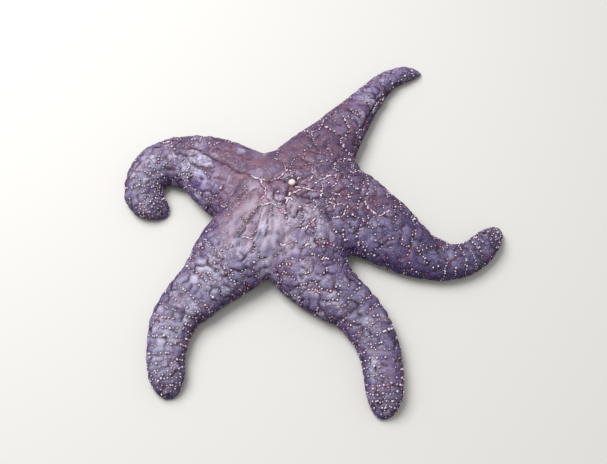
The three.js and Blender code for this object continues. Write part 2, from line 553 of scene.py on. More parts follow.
@dataclass
class Unwrap:
    """The skin's own unwrap: each arm's band opened out flat along its furrow, and the disc's two sides."""

    plan: BodyPlan
    cell: float = 150 * MM
    disc_reach: float = 42 * MM
    arm_middle: float = 100 * MM
    girth: float = 2.3
    columns: int = 3
    half_chart: float = 0.49

    def charts(self, points: Array, normals: Array) -> Array:
        """The chart that each place belongs to.

        Args:
            points: n x 3 places.
            normals: the way that the skin faces at each.

        Returns:
            An arm's index, or one of two further numbers for the disc's upper and under sides.
        """
        place = self.plan.locate(points)
        side = np.where(normals[:, 2] > 0, len(ARMS), len(ARMS) + 1)
        return np.where(place.radius < self.disc_reach, side, place.arm)

    def lay(self, points: Array, charts: Array, near_turn: Array) -> Array:
        """Points laid out on given charts.

        Args:
            points: n x 3 places.
            charts: each point's chart.
            near_turn: a turn close to each point's own, which says on which side of the seam it lies.

        Returns:
            n x 2 places on the unit square.
        """
        flat = points[:, :2] - self.plan.centre
        for arm in range(len(ARMS)):
            own = charts == arm
            if own.any():
                run, share, _, turn, _ = self.plan.on_arm(arm, points[own])
                turn = turn + 2 * np.pi * np.round((near_turn[own] - turn) / (2 * np.pi))
                girth = self.girth * self.plan.half_width(arm, np.clip(share, 0, 1))
                flat[own] = np.stack([run - self.arm_middle, turn / np.pi * girth], 1)
        corner = np.stack([charts % self.columns, charts // self.columns], 1) + 0.5
        return (corner + np.clip(flat / self.cell, -self.half_chart, self.half_chart)) / self.columns

    def wrap(self, mesh: bpy.types.Mesh, surface: Surface) -> None:
        """Gives the skin its map.

        Args:
            mesh: the skin's mesh.
            surface: the surface that it was made from.
        """
        middles = surface.points[surface.quads].mean(1)
        facing = surface.normals()[surface.quads].mean(1)
        charts = np.repeat(self.charts(middles, facing), 4)
        turns = np.repeat(self.plan.locate(middles).turn, 4)
        put_map(mesh, self.lay(surface.points[surface.quads.ravel()], charts, turns))

    def roots(self, points: Array, normals: Array) -> Array:
        """Where things that grow on the skin have their roots on the unwrap."""
        return self.lay(points, self.charts(points, normals), self.plan.locate(points).turn)


# ---------------------------------------------------------------- the skin
@dataclass
class Skin:
    """The star's one skin: the solids of flesh fused, evened out and drawn in by the depth of the spines.

    Attributes:
        base: the smooth skin, once it is grown.
        normals: the way that it faces at each point, evened out.
        place: where each point lies on the body.
        under: where the skin is the tan one of the mouth side, 0 to 1.
    """

    plan: BodyPlan
    nodes: dict[str, bpy.types.Object]
    swell: float = 0.24 * MM
    plate_swell: float = 0.4 * MM
    weld: float = 0.01 * MM
    cell: float = 0.955 * MM
    rounds: int = 70
    give_back: float = 0.52
    coat: float = 1.0 * MM
    furrow_half: float = 6.2 * MM
    furrow_top: float = 6.5 * MM
    furrow_end: float = 0.95
    furrow_facing: float = 0.2
    floor_facing: float = -0.6
    tan_below: float = 3.2 * MM
    base: Surface = field(init=False)
    normals: Array = field(init=False)
    place: Place = field(init=False)
    under: Array = field(init=False)

    def flesh(self) -> list[str]:
        """The names of the flesh's solids."""
        return [name for name in self.nodes if name != "madreporite"]

    def fused(self) -> Surface:
        """The solids swollen until they meet, as one closed surface of even quads.

        Returns:
            The fused surface.
        """
        joined = bmesh.new()
        for name, node in self.nodes.items():
            part = bmesh.new()
            part.from_mesh(node.data)
            part.transform(node.matrix_world)
            bmesh.ops.remove_doubles(part, verts=part.verts, dist=self.weld)
            part.normal_update()
            swell = self.plate_swell if name == "madreporite" else self.swell
            for vert in part.verts:
                vert.co += vert.normal * swell
            mesh = bpy.data.meshes.new(name + "_swollen")
            part.to_mesh(mesh)
            joined.from_mesh(mesh)
            part.free()
        mesh = bpy.data.meshes.new("flesh")
        joined.to_mesh(mesh)
        joined.free()
        lump = new_object("flesh", mesh)
        remesh = lump.modifiers.new("even", "REMESH")
        remesh.mode, remesh.voxel_size = "VOXEL", self.cell
        even = evaluated_mesh(lump)
        bpy.data.objects.remove(lump)
        points = np.empty(len(even.vertices) * 3)
        even.vertices.foreach_get("co", points)
        return Surface(points.reshape(-1, 3), corner_points(even).reshape(-1, 4))

    def grow(self) -> None:
        """Makes the smooth skin that the relief and the spines start from."""
        self.base = self.fused()
        self.base.points = self.base.smooth(self.base.points, self.rounds, self.give_back)
        self.base.points -= self.base.normals() * (self.coat + self.swell)
        self.normals = unit(self.base.smooth(self.base.normals(), 6))
        self.place = self.plan.locate(self.base.points)
        level = self.base.points[:, 2]
        narrow = self.furrow_half * (1 - 0.5 * self.place.share)
        in_furrow = (np.abs(self.place.across) < narrow) & (level < self.furrow_top)
        in_furrow &= (self.place.share < self.furrow_end) & (self.normals[:, 2] < self.furrow_facing)
        hidden = in_furrow | ((self.normals[:, 2] < self.floor_facing) & (level < self.tan_below))
        self.under = self.base.smooth(hidden.astype(float), 2)


class Line(Enum):
    """What runs along one line of the net."""

    CORD = "small spines fused in an unbroken thin line"
    BEADS = "single blunt spines strung in a row"
    CREASE = "a bare fold between two cushions of skin"


CORD, BEADS, CREASE = Line


@dataclass
class Strand:
    """One line of the net on the skin: its course, how deep its fold is, and its beads' size and spacing."""

    points: Array
    line: Line
    depth: float = 1.0
    size: float = 1.0
    spacing: float = 1.0


# The net's main lines: what each carries, how large or deep it is, and knots in millimetres from the centre.
MAIN_LINES = (
    # the ring round the disc's middle
    (CORD, 0.95, ((-18, 13), (-15.5, 11.3), (-12, 9), (-8.5, 8.8))),
    (CORD, 0.8, ((-5, 8.5), (-2.2, 9.5), (0.5, 10), (2, 9.6))),
    (CORD, 1.0, ((-11, 8), (-10, 5), (-7.5, 2.8), (-8.5, 0.5), (-8, -2.5), (-9.5, -3.5), (-11.5, -9))),
    (CORD, 0.9, ((-11.5, -9.5), (-9.5, -10.2), (-7, -9.5), (-4, -8.8), (-1.5, -10), (1, -12.5), (4, -16))),
    (CORD, 1.2, ((7.5, -0.5), (7.7, -2), (7.5, -3.2))),
    (CORD, 0.9, ((7.4, -4.8), (6, -5.4), (5.4, -8.7))),
    (CREASE, 1.4, ((7, 3.4), (6.3, 0.5), (5.9, -2), (5.1, -4.6), (4.6, -8))),
    (BEADS, 0.95, ((5.2, -9), (5.1, -12.8), (5, -15.2), (5.6, -20.5))),
    (CORD, 1.5, ((-0.5, -0.2), (0.5, -0.5))),
    # the disc's upper and right parts
    (CORD, 1.0, ((0.5, 10), (1.5, 11.5), (4, 14.3), (6, 16.5), (6.1, 16.6))),
    (BEADS, 0.8, ((6.5, 14), (7.3, 19), (9, 22.5), (10, 26), (14, 31))),
    (CORD, 1.0, ((10.8, 4), (15, 3.3), (17, 2.2), (20, 1.2))),
    (CORD, 0.8, ((20, 1.2), (23, 1.2), (26.5, 0.8), (29.5, 0.9))),
    (CORD, 1.1, ((7.3, -1.5), (8.5, -1.6), (10.5, -0.5), (14, 1.2))),
    (CORD, 1.1, ((5, -4.8), (7, -4.8), (9, -5.5), (11.5, -7.5))),
    (CORD, 0.9, ((23.5, 7), (26, 9.3), (28.5, 10.8), (30.3, 11), (31.3, 13), (33, 14), (35.5, 14.6),
                 (37.5, 14.2))),
    (CORD, 0.8, ((27, 7.3), (28.5, 4.5), (28.3, 2.8), (28, 0), (27.5, -2), (26.5, -4))),
    (CORD, 0.7, ((29.8, 5.4), (32, 7.2), (33, 9))),
    (CORD, 0.7, ((34, 4.7), (35.3, 5.6), (37, 7.5))),
    (CORD, 0.75, ((33, 0.6), (36, -0.4), (39, -0.9), (40.5, -2), (42, -2.1))),
    (CORD, 0.7, ((33, -5), (34.5, -2.6), (36.2, -5.2))),
    (CORD, 0.8, ((36, -8.3), (35.2, -9.6), (35.6, -11))),
    (CORD, 0.9, ((22.3, -5.5), (24, -7), (25.2, -8.7), (24, -10.5), (22.3, -13.3))),
    (CORD, 0.9, ((23.3, -19), (21.5, -21), (18, -25), (14, -24.8), (11.5, -24.5))),
    (CORD, 0.75, ((29.8, -5.6), (31, -7.5), (32.2, -8.4), (30.5, -10), (29.4, -11.2))),
    (BEADS, 0.8, ((14, 20), (17, 21), (19.2, 22.3), (20.5, 24))),
    (CORD, 1.1, ((12, 9.2), (13.2, 10.2), (14.6, 10.9))),
    (CREASE, 1.2, ((11, 5.8), (14, 5), (18, 4.8))),
    (CREASE, 1.1, ((14.8, 11), (16, 10.4), (17.5, 10.2))),
    (CREASE, 1.2, ((0, 9), (2.5, 8.6), (4.7, 6.4))),
    (CREASE, 1.0, ((-7, 7.8), (-3.5, 6.8))),
    (CREASE, 1.2, ((15.5, -4.4), (18.5, -4.4), (21, -5.8))),
    (CREASE, 1.0, ((-7, -5.5), (-4.6, -7.6), (-4, -9))),
    # the lines that run out through the stretched skin
    (CREASE, 1.7, ((-36, 27), (-28, 18), (-22, 16.5), (-18.5, 13))),
    (BEADS, 0.8, ((-12.5, -10.5), (-15, -14), (-18, -18.5), (-22, -23), (-27, -31))),
    (CREASE, 1.4, ((-11, -10.5), (-14.5, -16), (-19, -22), (-24, -31))),
    (BEADS, 0.7, ((-24, -17), (-20.5, -20.5), (-17, -20), (-16, -22.5))),
    (BEADS, 0.8, ((-3.3, -11), (-3.3, -13.5), (-3.5, -16), (-4.3, -18.5))),
    (CREASE, 1.0, ((-4.6, -9.5), (-5.6, -15), (-6.3, -22), (-6.8, -31))),
    (CREASE, 1.0, ((-9.5, -12), (-12, -22), (-15, -32))),
    # the first arm
    (CREASE, 1.6, ((57.5, 64.5), (60, 71), (63.2, 78), (66.5, 85), (71.7, 93), (75.5, 98))),
    (BEADS, 1.2, ((63.5, 76), (65, 81), (69, 88), (72, 92), (74, 97))),
    (BEADS, 1.0, ((48.5, 77), (50, 73.5), (52.5, 72), (55, 70))),
    (BEADS, 1.0, ((50, 75.5), (53.5, 75), (55.5, 72.5))),
    # the second arm
    (BEADS, 1.1, ((58.5, 17), (58, 8.5), (57.5, 2.5), (56, 0), (52.5, -3), (51, -7), (50.5, -11))),
    (BEADS, 1.0, ((36, 14.5), (36.5, 12), (37.2, 7.7))),
    (BEADS, 1.0, ((41.5, 12), (43.2, 13.2), (45, 12.5), (47, 10))),
    (CORD, 0.8, ((31.8, -6.2), (35, -7.3), (36.5, -8), (38.5, -7.3), (42, -7.8))),
    (CORD, 0.75, ((44.5, -9), (44, -10.5), (41.5, -13), (41.8, -15), (39, -16.3), (34, -17.2))),
    (BEADS, 1.1, ((43, -17), (46, -15.8), (49, -15.8), (52, -16.5), (55, -19.5), (59, -23), (61.5, -23.5))),
    (BEADS, 1.35, ((40.7, -22.7), (41.7, -25.7), (42, -30.2))),
    (BEADS, 1.25, ((52, -21), (49.5, -26.5), (48.5, -29), (52, -33), (55.5, -35), (59, -37), (63, -38))),
    (BEADS, 0.9, ((60.5, -35.5), (63.8, -34.5), (67.3, -32), (70, -30), (74, -28.5))),
    (CORD, 0.9, ((55.5, -5), (57, -9.3), (61.2, -12.8), (65.5, -14), (68.5, -11), (70, -11))),
    (BEADS, 0.9, ((74, 0.5), (75.3, -2), (75, -5.5), (74.5, -11), (74.7, -17), (73.3, -19.7))),
    (BEADS, 1.0, ((87, -22), (86, -26), (82.5, -33), (82.5, -38), (81, -40))),
    # the third arm
    (CORD, 1.0, ((1.5, -35.8), (4, -36.8), (6, -35.7), (8, -34.6))),
    (CORD, 0.9, ((14, -38.5), (16.5, -37.7), (18.5, -36.3), (19, -32))),
    (BEADS, 0.9, ((22.5, -34.2), (24.8, -34.2), (27.5, -31.8), (30.3, -31.3))),
    (BEADS, 1.1, ((11, -62), (15, -61.3), (18, -60.8), (23, -59), (26.3, -62), (28, -64.2), (33, -64.7),
                  (38, -61.4))),
    (BEADS, 1.15, ((-1.5, -49.6), (1.5, -49), (4, -48.5), (8.5, -49.2))),
    (CORD, 0.7, ((5, -45.5), (7, -46.8), (9.5, -45))),
    (CORD, 0.75, ((15, -38.6), (17.5, -36.7), (20, -35.4), (20.3, -38.4))),
    (BEADS, 1.0, ((15.5, -51.2), (18.5, -52.2), (19.2, -55))),
    (BEADS, 1.1, ((30.3, -50.5), (30.2, -53.8), (28, -55.3), (25, -54.5))),
    (BEADS, 1.0, ((28, -70.6), (30, -71), (33, -70.4), (37.5, -69.7))),
    # the fourth arm
    (BEADS, 1.0, ((-47, -28.5), (-42.5, -33.5), (-40, -36.5), (-36, -44), (-34.3, -47))),
    (BEADS, 1.0, ((-43, -48), (-40, -46.8), (-34, -49.2), (-30.5, -53), (-29, -57.5), (-24.7, -57.8))),
    (BEADS, 1.0, ((-56.5, -46), (-53, -49.5), (-49, -53), (-46.5, -55), (-43.5, -59))),
    (CORD, 0.7, ((-22, -31.5), (-18.5, -31), (-16, -32.5))),
    (BEADS, 0.85, ((-16, -32.5), (-14.5, -35), (-14, -38), (-16, -41.3))),
    (BEADS, 0.75, ((-13.5, -27), (-14.5, -30), (-16.5, -31.5))),
    (CREASE, 0.7, ((-24, -40), (-20, -43.5), (-17, -40))),
    # the fifth arm
    (CREASE, 1.5, ((-50, 34.7), (-47, 33), (-44.4, 30.2), (-41, 28.6), (-38, 27.4))),
    (CREASE, 1.4, ((-38, 25), (-33.3, 23.6), (-29.4, 21.9))),
    (CREASE, 1.4, ((-60, 41.3), (-55.6, 39), (-52.2, 37.4))),
    (CREASE, 1.4, ((-69, 36.3), (-66.7, 37), (-64.4, 35.2), (-61.7, 34))),
    (CREASE, 1.2, ((-42, 13), (-39, 13.6), (-34, 11.5))),
    (CREASE, 1.2, ((-58, 27), (-53, 24.5), (-47, 22), (-43, 21.5))),
    (BEADS, 0.9, ((-47.5, 50), (-47.5, 45), (-47, 40), (-47.5, 38))),
)


# Where the cushions are drawn out: the middle in millimetres, the way that they are drawn, and the reach.
DRAWN_OUT = (
    ((-43, 26), (-0.845, 0.535), 26),
    ((58, 84), (-0.79, 0.62), 24),
)


@dataclass
class Net:
    """The net of lines that the spines follow, with cushions of soft skin between them.

    Attributes:
        strands: every line of the net, once it is drawn.
        cell_tone: how light each point's cushion is, against the others.
        drawn: how far the cushions are drawn out at each point, 0 to 1.
        stretched: where the disc's skin is stretched in folds, 0 to 1.
        smooth: where the disc's skin is smooth, 0 to 1.
        polar: each point's place for patterns that run out from the middle.
    """

    skin: Skin
    rng: np.random.Generator
    knot_step: float = 1.2 * MM
    wobble: float = 0.5 * MM
    wobble_size: float = 2.2 * MM
    clear: float = 2.8 * MM
    coarse: float = 11.5 * MM
    ring_radius: float = 12.5 * MM
    loop_share: float = 0.82
    loop_kept: Range = (5 * MM, 16 * MM)
    loop_lost: Range = (1.5 * MM, 6 * MM)
    cord_kept: Range = (4 * MM, 11 * MM)
    cord_lost: Range = (1.5 * MM, 5 * MM)
    fine: float = 5.3 * MM
    drawing: float = 0.6
    polar_squeeze: float = 0.3
    polar_radius: float = 30 * MM
    stray_kept: Range = (1.5 * MM, 4 * MM)
    stray_lost: Range = (3 * MM, 12 * MM)
    row_gap: float = 5.3 * MM
    row_bow: float = 2.5 * MM
    row_turn: float = 0.54
    row_kept: Range = (6 * MM, 24 * MM)
    margin_turn: float = 0.57
    margin_from: float = 0.3
    margin_kept: Range = (8 * MM, 30 * MM)
    margin_lost: Range = (1 * MM, 4 * MM)
    beads_end: float = 0.985
    strands: list[Strand] = field(default_factory=list)
    cell_tone: Array = field(init=False)
    drawn: Array = field(init=False)
    stretched: Array = field(init=False)
    smooth: Array = field(init=False)
    polar: Array = field(init=False)

    def __post_init__(self) -> None:
        """Finds where the disc's skin is stretched in folds and where it is smooth."""
        radius, bearing = self.skin.place.radius, self.skin.place.bearing
        self.stretched = within(bearing, 186, 296, 24) * eased(9 * MM, 15 * MM, radius)
        self.stretched *= eased(56 * MM, 36 * MM, radius)
        self.smooth = within(bearing, 62, 168) * eased(9 * MM, 14 * MM, radius)
        self.smooth *= eased(54 * MM, 40 * MM, radius)
        self.polar = np.stack([radius, np.radians(bearing) * self.polar_radius, np.zeros(len(radius))], 1)

    def spread(self, allowed: Array, gap: Array) -> Array:
        """Seeds scattered over the skin.

        Args:
            allowed: which of the skin's points may hold one.
            gap: the least distance to the next seed, at each point.

        Returns:
            The indices of the chosen points.
        """
        points, chosen = self.skin.base.points, []
        cell = float(gap.max())
        shelves: dict[tuple[int, int, int], list[int]] = {}
        keys = np.floor(points / cell).astype(int)
        for i in self.rng.permutation(np.flatnonzero(allowed)):
            x, y, z = keys[i]
            close = [k for dx in (-1, 0, 1) for dy in (-1, 0, 1) for dz in (-1, 0, 1)
                     for k in shelves.get((x + dx, y + dy, z + dz), ())]
            if not close or lengths(points[close] - points[i]).min() >= gap[i]:
                shelves.setdefault((x, y, z), []).append(i)
                chosen.append(i)
        return np.array(chosen)

    def cells(self, space: Array, allowed: Array, gap: Array) -> Array:
        """Each allowed point's cell among evened-out seeds.

        Args:
            space: where each point lies for measuring, so that a warp or a stretch bends the cells.
            allowed: which points belong to the pattern.
            gap: the least distance between seeds, at each point.

        Returns:
            A cell number for each point, or -1.
        """
        own = np.flatnonzero(allowed)
        seeds = space[self.spread(allowed, gap)]
        label, _ = nearest(tree_of(seeds), space[own])
        count = np.maximum(np.bincount(label, minlength=len(seeds)), 1)
        middles = np.stack([np.bincount(label, column, len(seeds)) for column in space[own].T], 1)
        full = np.full(len(space), -1)
        full[own] = nearest(tree_of(middles / count[:, None]), space[own])[0]
        return full

    def borders(self, label: Array, step: float = PATH_STEP) -> list[tuple[Array, int]]:
        """The smooth lines between neighbouring cells.

        Args:
            label: each point's cell number.
            step: the distance between a line's points.

        Returns:
            A path for each pair of neighbours, and a point of the skin beside it.
        """
        points, (a, b) = self.skin.base.points, self.skin.base.edges.T
        cut = (label[a] != label[b]) & (label[a] >= 0) & (label[b] >= 0)
        a, b = a[cut], b[cut]
        middles = (points[a] + points[b]) / 2
        low, high = np.minimum(label[a], label[b]), np.maximum(label[a], label[b])
        key = low * (label.max() + 1) + high
        order = np.argsort(key, kind="stable")
        paths = []
        for group in np.split(order, np.flatnonzero(np.diff(key[order])) + 1):
            if len(group) < 3:
                continue
            spots = middles[group]
            along = np.linalg.svd(spots - spots.mean(0), full_matrices=False)[2][0]
            at = (spots - spots.mean(0)) @ along
            if np.ptp(at) > 2 * step:
                even = np.linspace(at.min(), at.max(), max(3, int(np.ptp(at) / step)))
                path = np.stack([np.polyval(np.polyfit(at, column, 2), even) for column in spots.T], 1)
                paths.append((path, a[group[len(group) // 2]]))
        return paths

    def broken(self, path: Array, kept: Range, lost: Range) -> list[Array]:
        """A path broken into uneven lengths with gaps between them, and kept clear of the main lines.

        Args:
            path: points one path step apart.
            kept: the shortest and longest length kept.
            lost: the shortest and longest gap.

        Returns:
            The lengths.
        """
        free = nearest(self.main, path)[1] > self.clear
        pieces, at = [], -int(self.rng.uniform(0, kept[0]) / PATH_STEP)
        while at < len(path) - 3:
            end = at + int(self.rng.uniform(*kept) / PATH_STEP)
            piece = path[max(at, 0):end][free[max(at, 0):end]]
            if len(piece) > 3 and lengths(np.diff(piece, axis=0)).max() < self.clear:
                pieces.append(piece)
            at = end + int(self.rng.uniform(*lost) / PATH_STEP)
        return pieces

    def lay_main_lines(self) -> None:
        """The ring round the disc's middle and the other main lines, dropped onto the skin."""
        lookup = self.skin.base.lookup()
        for line, size, knots in MAIN_LINES:
            path = evened(np.array(knots, float) * MM + self.skin.plan.centre, self.knot_step)
            wobble = warps(np.c_[path, np.zeros(len(path))], self.wobble_size, 41, 43)
            path = evened(path + self.wobble * wobble, PATH_STEP)
            drops = [tuple(lookup.ray_cast(Vector((x, y, 0.1)), Vector((0, 0, -1)))[0]) for x, y in path]
            deep = size if line is CREASE else 1.0
            self.strands.append(Strand(np.array(drops), line, deep, size))
        self.main = tree_of(np.concatenate([strand.points for strand in self.strands]))

    def loops(self) -> None:
        """The wide loops of beads on the disc and the inner arms, and the fused cords among them."""
        place, points = self.skin.place, self.skin.base.points
        rows_from = looks_of(place.arm, "rows_from") + 0.06 * noise(points, 14 * MM, 5)
        inner = (self.skin.under < 0.5) & (place.share < rows_from) & (place.radius > self.ring_radius)
        warp = warps(points, 12 * MM, 11, 12, 13) * 2.6 * MM
        gap = self.coarse * (1 + 0.3 * noise(points, 30 * MM, 14, 1))
        for path, at in self.borders(self.cells(points + warp, inner, gap)):
            smooth, stretched = self.smooth[at], self.stretched[at]
            if self.rng.random() > self.loop_share - 0.7 * smooth - 0.3 * stretched:
                continue
            central = float(eased(44 * MM, 26 * MM, place.radius[at])) * (1 - smooth) * (1 - stretched)
            if self.rng.random() < 0.6 * central:
                pieces, line, size = self.broken(path, self.cord_kept, self.cord_lost), CORD, 0.75
            else:
                pieces, line = self.broken(path, self.loop_kept, self.loop_lost), BEADS
                size = 0.75 if stretched + smooth + central > 0.4 else 1.0
            for piece in pieces:
                size *= self.rng.uniform(0.9, 1.1)
                self.strands.append(Strand(piece, line, self.rng.uniform(0.7, 1.0), size, 0.92))

    def cushions(self) -> None:
        """The small cushions' folds, round on the arms and drawn out towards the disc's middle."""
        place, points = self.skin.place, self.skin.base.points
        upper = self.skin.under < 0.5
        taut = upper & (self.stretched > 0.5 + 0.25 * noise(points, 6 * MM, 25))
        warp = warps(points, 7 * MM, 21, 22, 23) * 1.5 * MM
        gap = self.fine * (1.15 + 0.35 * noise(points, 16 * MM, 24, 1) - 0.25 * eased(0.5, 0.8, place.share))
        bent, self.drawn = points.copy(), np.zeros(len(points))
        for centre, way, reach in DRAWN_OUT:
            off = points[:, :2] - self.skin.plan.centre - np.array(centre) * MM
            there = bell(lengths(off), reach * MM)
            bent[:, :2] -= self.drawing * (there * (off @ np.array(way)))[:, None] * np.array(way)
            self.drawn = np.maximum(self.drawn, there)
        small = self.cells(bent + warp, upper & ~taut, gap)
        polar = self.polar * (self.polar_squeeze, 1, 0) + points * (0, 0, 0.2)
        radial = self.cells(polar + 0.4 * warp, taut, 0.62 * gap)
        label = np.where(taut, radial + small.max() + 1, small)
        tone = self.rng.normal(0, 1, label.max() + 2)[label]
        self.cell_tone = self.skin.base.smooth(tone, 2) * upper
        for path, at in self.borders(label):
            smooth, stretched = self.smooth[at], self.stretched[at]
            lone = 1 - max(smooth, stretched)
            beaded = self.rng.random() < 0.1 * (1 - smooth) + 0.15 * stretched
            line = BEADS if beaded else CREASE
            depth = 1.15 * self.rng.random() ** 1.3 * (1 - 0.4 * smooth) * (1 - 0.4 * stretched)
            fine = 1 - 0.35 * float(stretched)
            self.strands.append(Strand(path, line, depth, fine * self.rng.uniform(0.6, 0.85), fine))
            if not beaded and self.rng.random() < 0.1 + 0.3 * lone * float(place.share[at] < 0.45):
                for piece in self.broken(path, self.stray_kept, self.stray_lost)[:1]:
                    self.strands.append(Strand(piece, BEADS, depth, self.rng.uniform(0.5, 0.7), 0.5))

    def rows(self) -> None:
        """Rows of beads across the outer arms, bowed towards the tips, and wider apart further in."""
        plan = self.skin.plan
        for index, arm in enumerate(ARMS):
            length = plan.length(index)
            run = arm.rows_from * length
            while run < self.beads_end * length:
                inner = float(eased(0.72, 0.4, np.array(run / length)))
                half = float(plan.half_width(index, np.array(run / length)))
                turn = np.linspace(-self.row_turn, self.row_turn, max(8, int(2.2 * half / PATH_STEP))) * np.pi
                spot = np.c_[turn * half, np.full(len(turn), run), np.full(len(turn), 0.1 * index)]
                sway = (1.2 + 1.8 * inner) * MM * noise(spot, 10 * MM, 33)
                at = run + self.row_bow * (np.cos(turn) - 0.5) * half / (14 * MM) + sway
                path = plan.section_point(index, np.clip(at, 0, length), turn)
                lost = ((1 + 2 * inner) * MM, (5 + 4 * inner) * MM)
                for piece in self.broken(path, self.row_kept, lost):
                    size = self.rng.uniform(0.85, 1.15)
                    self.strands.append(Strand(piece, BEADS, 0.55, size, 0.9 / arm.beaded**0.5))
                run += self.row_gap * (1 + 0.7 * inner) / arm.beaded**0.5

    def margins(self) -> None:
        """Rows of beads that follow the arms' lower margins."""
        plan = self.skin.plan
        for index in range(len(ARMS)):
            length = plan.length(index)
            for side in (-1, 1):
                run = np.arange(self.margin_from * length, self.beads_end * length, PATH_STEP)
                sway = noise(np.c_[run, np.full(len(run), 0.5), np.full(len(run), 0.1 * side)], 9 * MM, 51)
                path = plan.section_point(index, run, side * np.pi * (self.margin_turn + 0.03 * sway))
                for piece in self.broken(path, self.margin_kept, self.margin_lost):
                    self.strands.append(Strand(piece, BEADS, 0.3, 0.65, 1 / ARMS[index].beaded))

    def draw(self) -> None:
        """Draws the whole net, and settles it onto the skin."""
        for part in (self.lay_main_lines, self.loops, self.cushions, self.rows, self.margins):
            part()
        lookup = self.skin.base.lookup()
        for strand in self.strands:
            strand.points = nearest_on(lookup, strand.points)
        log.info("net: %d strands", len(self.strands))


@dataclass(frozen=True)
class Fold:
    """A crease along an arc in plan, with the flesh swelling on its inner side."""

    centre: tuple[float, float]
    radius: float
    bearings: tuple[float, float]
    depth: float
    width: float = 1.8
    swell: float = 0.6
    # how strongly shade is painted into the crease
    dark: float = 1.0

    def relief(self, offsets: Array) -> tuple[Array, Array]:
        """How far the fold moves the skin, and how strongly shade is painted into its crease.

        Args:
            offsets: n x 2 places from the disc's centre.

        Returns:
            The outward move and the strength of the painted shade in the crease, 0 to 1, of each place.
        """
        off = offsets - np.array(self.centre) * MM
        gap = lengths(off) - self.radius * MM
        reach = within(bearings_of(off), *self.bearings, 16)
        crease = bell(gap, self.width * MM) * reach
        bulge = bell(gap + 3.2 * self.width * MM, 2.6 * self.width * MM) * reach
        return (self.swell * bulge - crease) * self.depth * MM, crease * self.dark


FOLDS = (
    Fold((25, -50), 27, (95, 190), 0.9, 2.0, 0.8, 0.45),
    Fold((2, -4), 33, (35, 75), 1.0),
    Fold((-75, 10), 16, (60, 150), 0.9),
    Fold((30, -55), 27, (255, 330), 0.8),
    Fold((-45, -56), 25, (225, 300), 0.8),
)


@dataclass(frozen=True)
class Patch:
    """A patch of the upper skin, in millimetres from the disc's centre, and how its colour differs."""

    centre: tuple[float, float]
    reach: float
    lightness: float
    warmth: float = 0.0
    violet: float = 0.0
    blotchy: float = 0.0


PATCHES = (
    # the disc
    Patch((8, 0), 36, 0.2, 0.4, 0.0, 0.3),
    Patch((-18, 20), 17, -0.4, 0.55),
    Patch((12, 34), 17, -0.24, 0.32),
    Patch((-32, -2), 12, -0.15, 0.2),
    Patch((-21, -11), 9, -0.46, 0.8),
    Patch((-36, -16), 15, -1.0, 0.2, 0.4),
    Patch((-10, -16), 11, 0.12, 0.15),
    Patch((3, -28), 14, 0.22),
    Patch((-11, -4), 8, 0.3, 0.15),
    Patch((0, 0), 6, -0.32),
    Patch((17.5, 7), 5, -0.35, 0.3),
    Patch((9.5, 2), 4, -0.1, 0.9),
    Patch((20, 17), 9, 0.5, -0.1, 0.0, 0.3),
    Patch((13, -17), 12, 0.36, 0.1, 0.0, 0.15),
    Patch((22, -27), 11, 0.4, 0.1),
    Patch((31, -40), 10, -0.32, -0.1),
    Patch((40, 0), 10, -0.3, 0.4),
    Patch((44, -10), 9, -0.1, 0.15, 0.1),
    Patch((32, 10), 10, 0.12, 0.2, 0.0, 0.2),
    # painted shade in the deep valley between the first and second arms, a little warm
    Patch((46, 35), 15, -0.65, 0.15, 0.1),
    Patch((-16, -46), 9, 0.02, -0.1, 0.3),
    # the first arm
    Patch((38, 55), 12, -0.25, 0.1),
    Patch((50, 70), 9, 0.24, -0.2),
    Patch((46, 80), 10, -0.3, 0.45),
    Patch((66, 92), 13, 0.72, -0.2, 0.6, 0.6),
    # the first arm's end: more violet, and much lighter, partly its own colour and partly painted highlight
    Patch((95, 113), 16, 1.3, -0.4, 1.8, 0.2),
    # the second arm
    Patch((66, 3), 14, 0.02, 0.65),
    Patch((75, -22), 12, 0.22, 0.0, 0.1),
    Patch((49, -31), 13, 0.2, -0.15, 0.3),
    Patch((88, -38), 11, -0.18, 0.0, 0.35),
    Patch((122, -33), 14, 0.25, 0.0, 0.1, 0.3),
    # the third arm
    Patch((9, -58), 13, 0.1, 0.0, 0.0, 0.3),
    Patch((20, -49), 4, -0.15, 0.8),
    Patch((36, -54), 12, -0.25, 0.0, 0.3),
    Patch((28, -63), 12, 0.48, 0.15),
    Patch((57, -110), 8, 0.28, 0.0, 0.1),
    Patch((71, -114), 9, -0.15, 0.4, 0.4),
    # the fourth arm
    Patch((-43, -42), 10, 0.22, 0.15),
    Patch((-61, -64), 8, -0.12, 0.1),
    Patch((-61, -88), 10, 0.14, 0.05),
    # the fifth arm
    Patch((-33, 28), 10, -0.4, 0.6),
    Patch((-49, 22), 24, 0.42, -0.2, 0.1, 0.5),
    Patch((-26, 12), 9, -0.12, 0.4, 0.0, 0.2),
    Patch((-38, 42), 12, -0.36, 0.4),
    Patch((-50, 10), 11, -0.05, 0.0, 0.8),
    Patch((-84, 30), 9, 0.2, -0.1),
    # painted shade on the inner side of the fifth arm's curl
    Patch((-79, 12), 6, -0.5),
    Patch((-68, 45), 15, -0.32, 0.35, 0.1),
    Patch((-85, -3), 8, 0.4, 0.1),
)


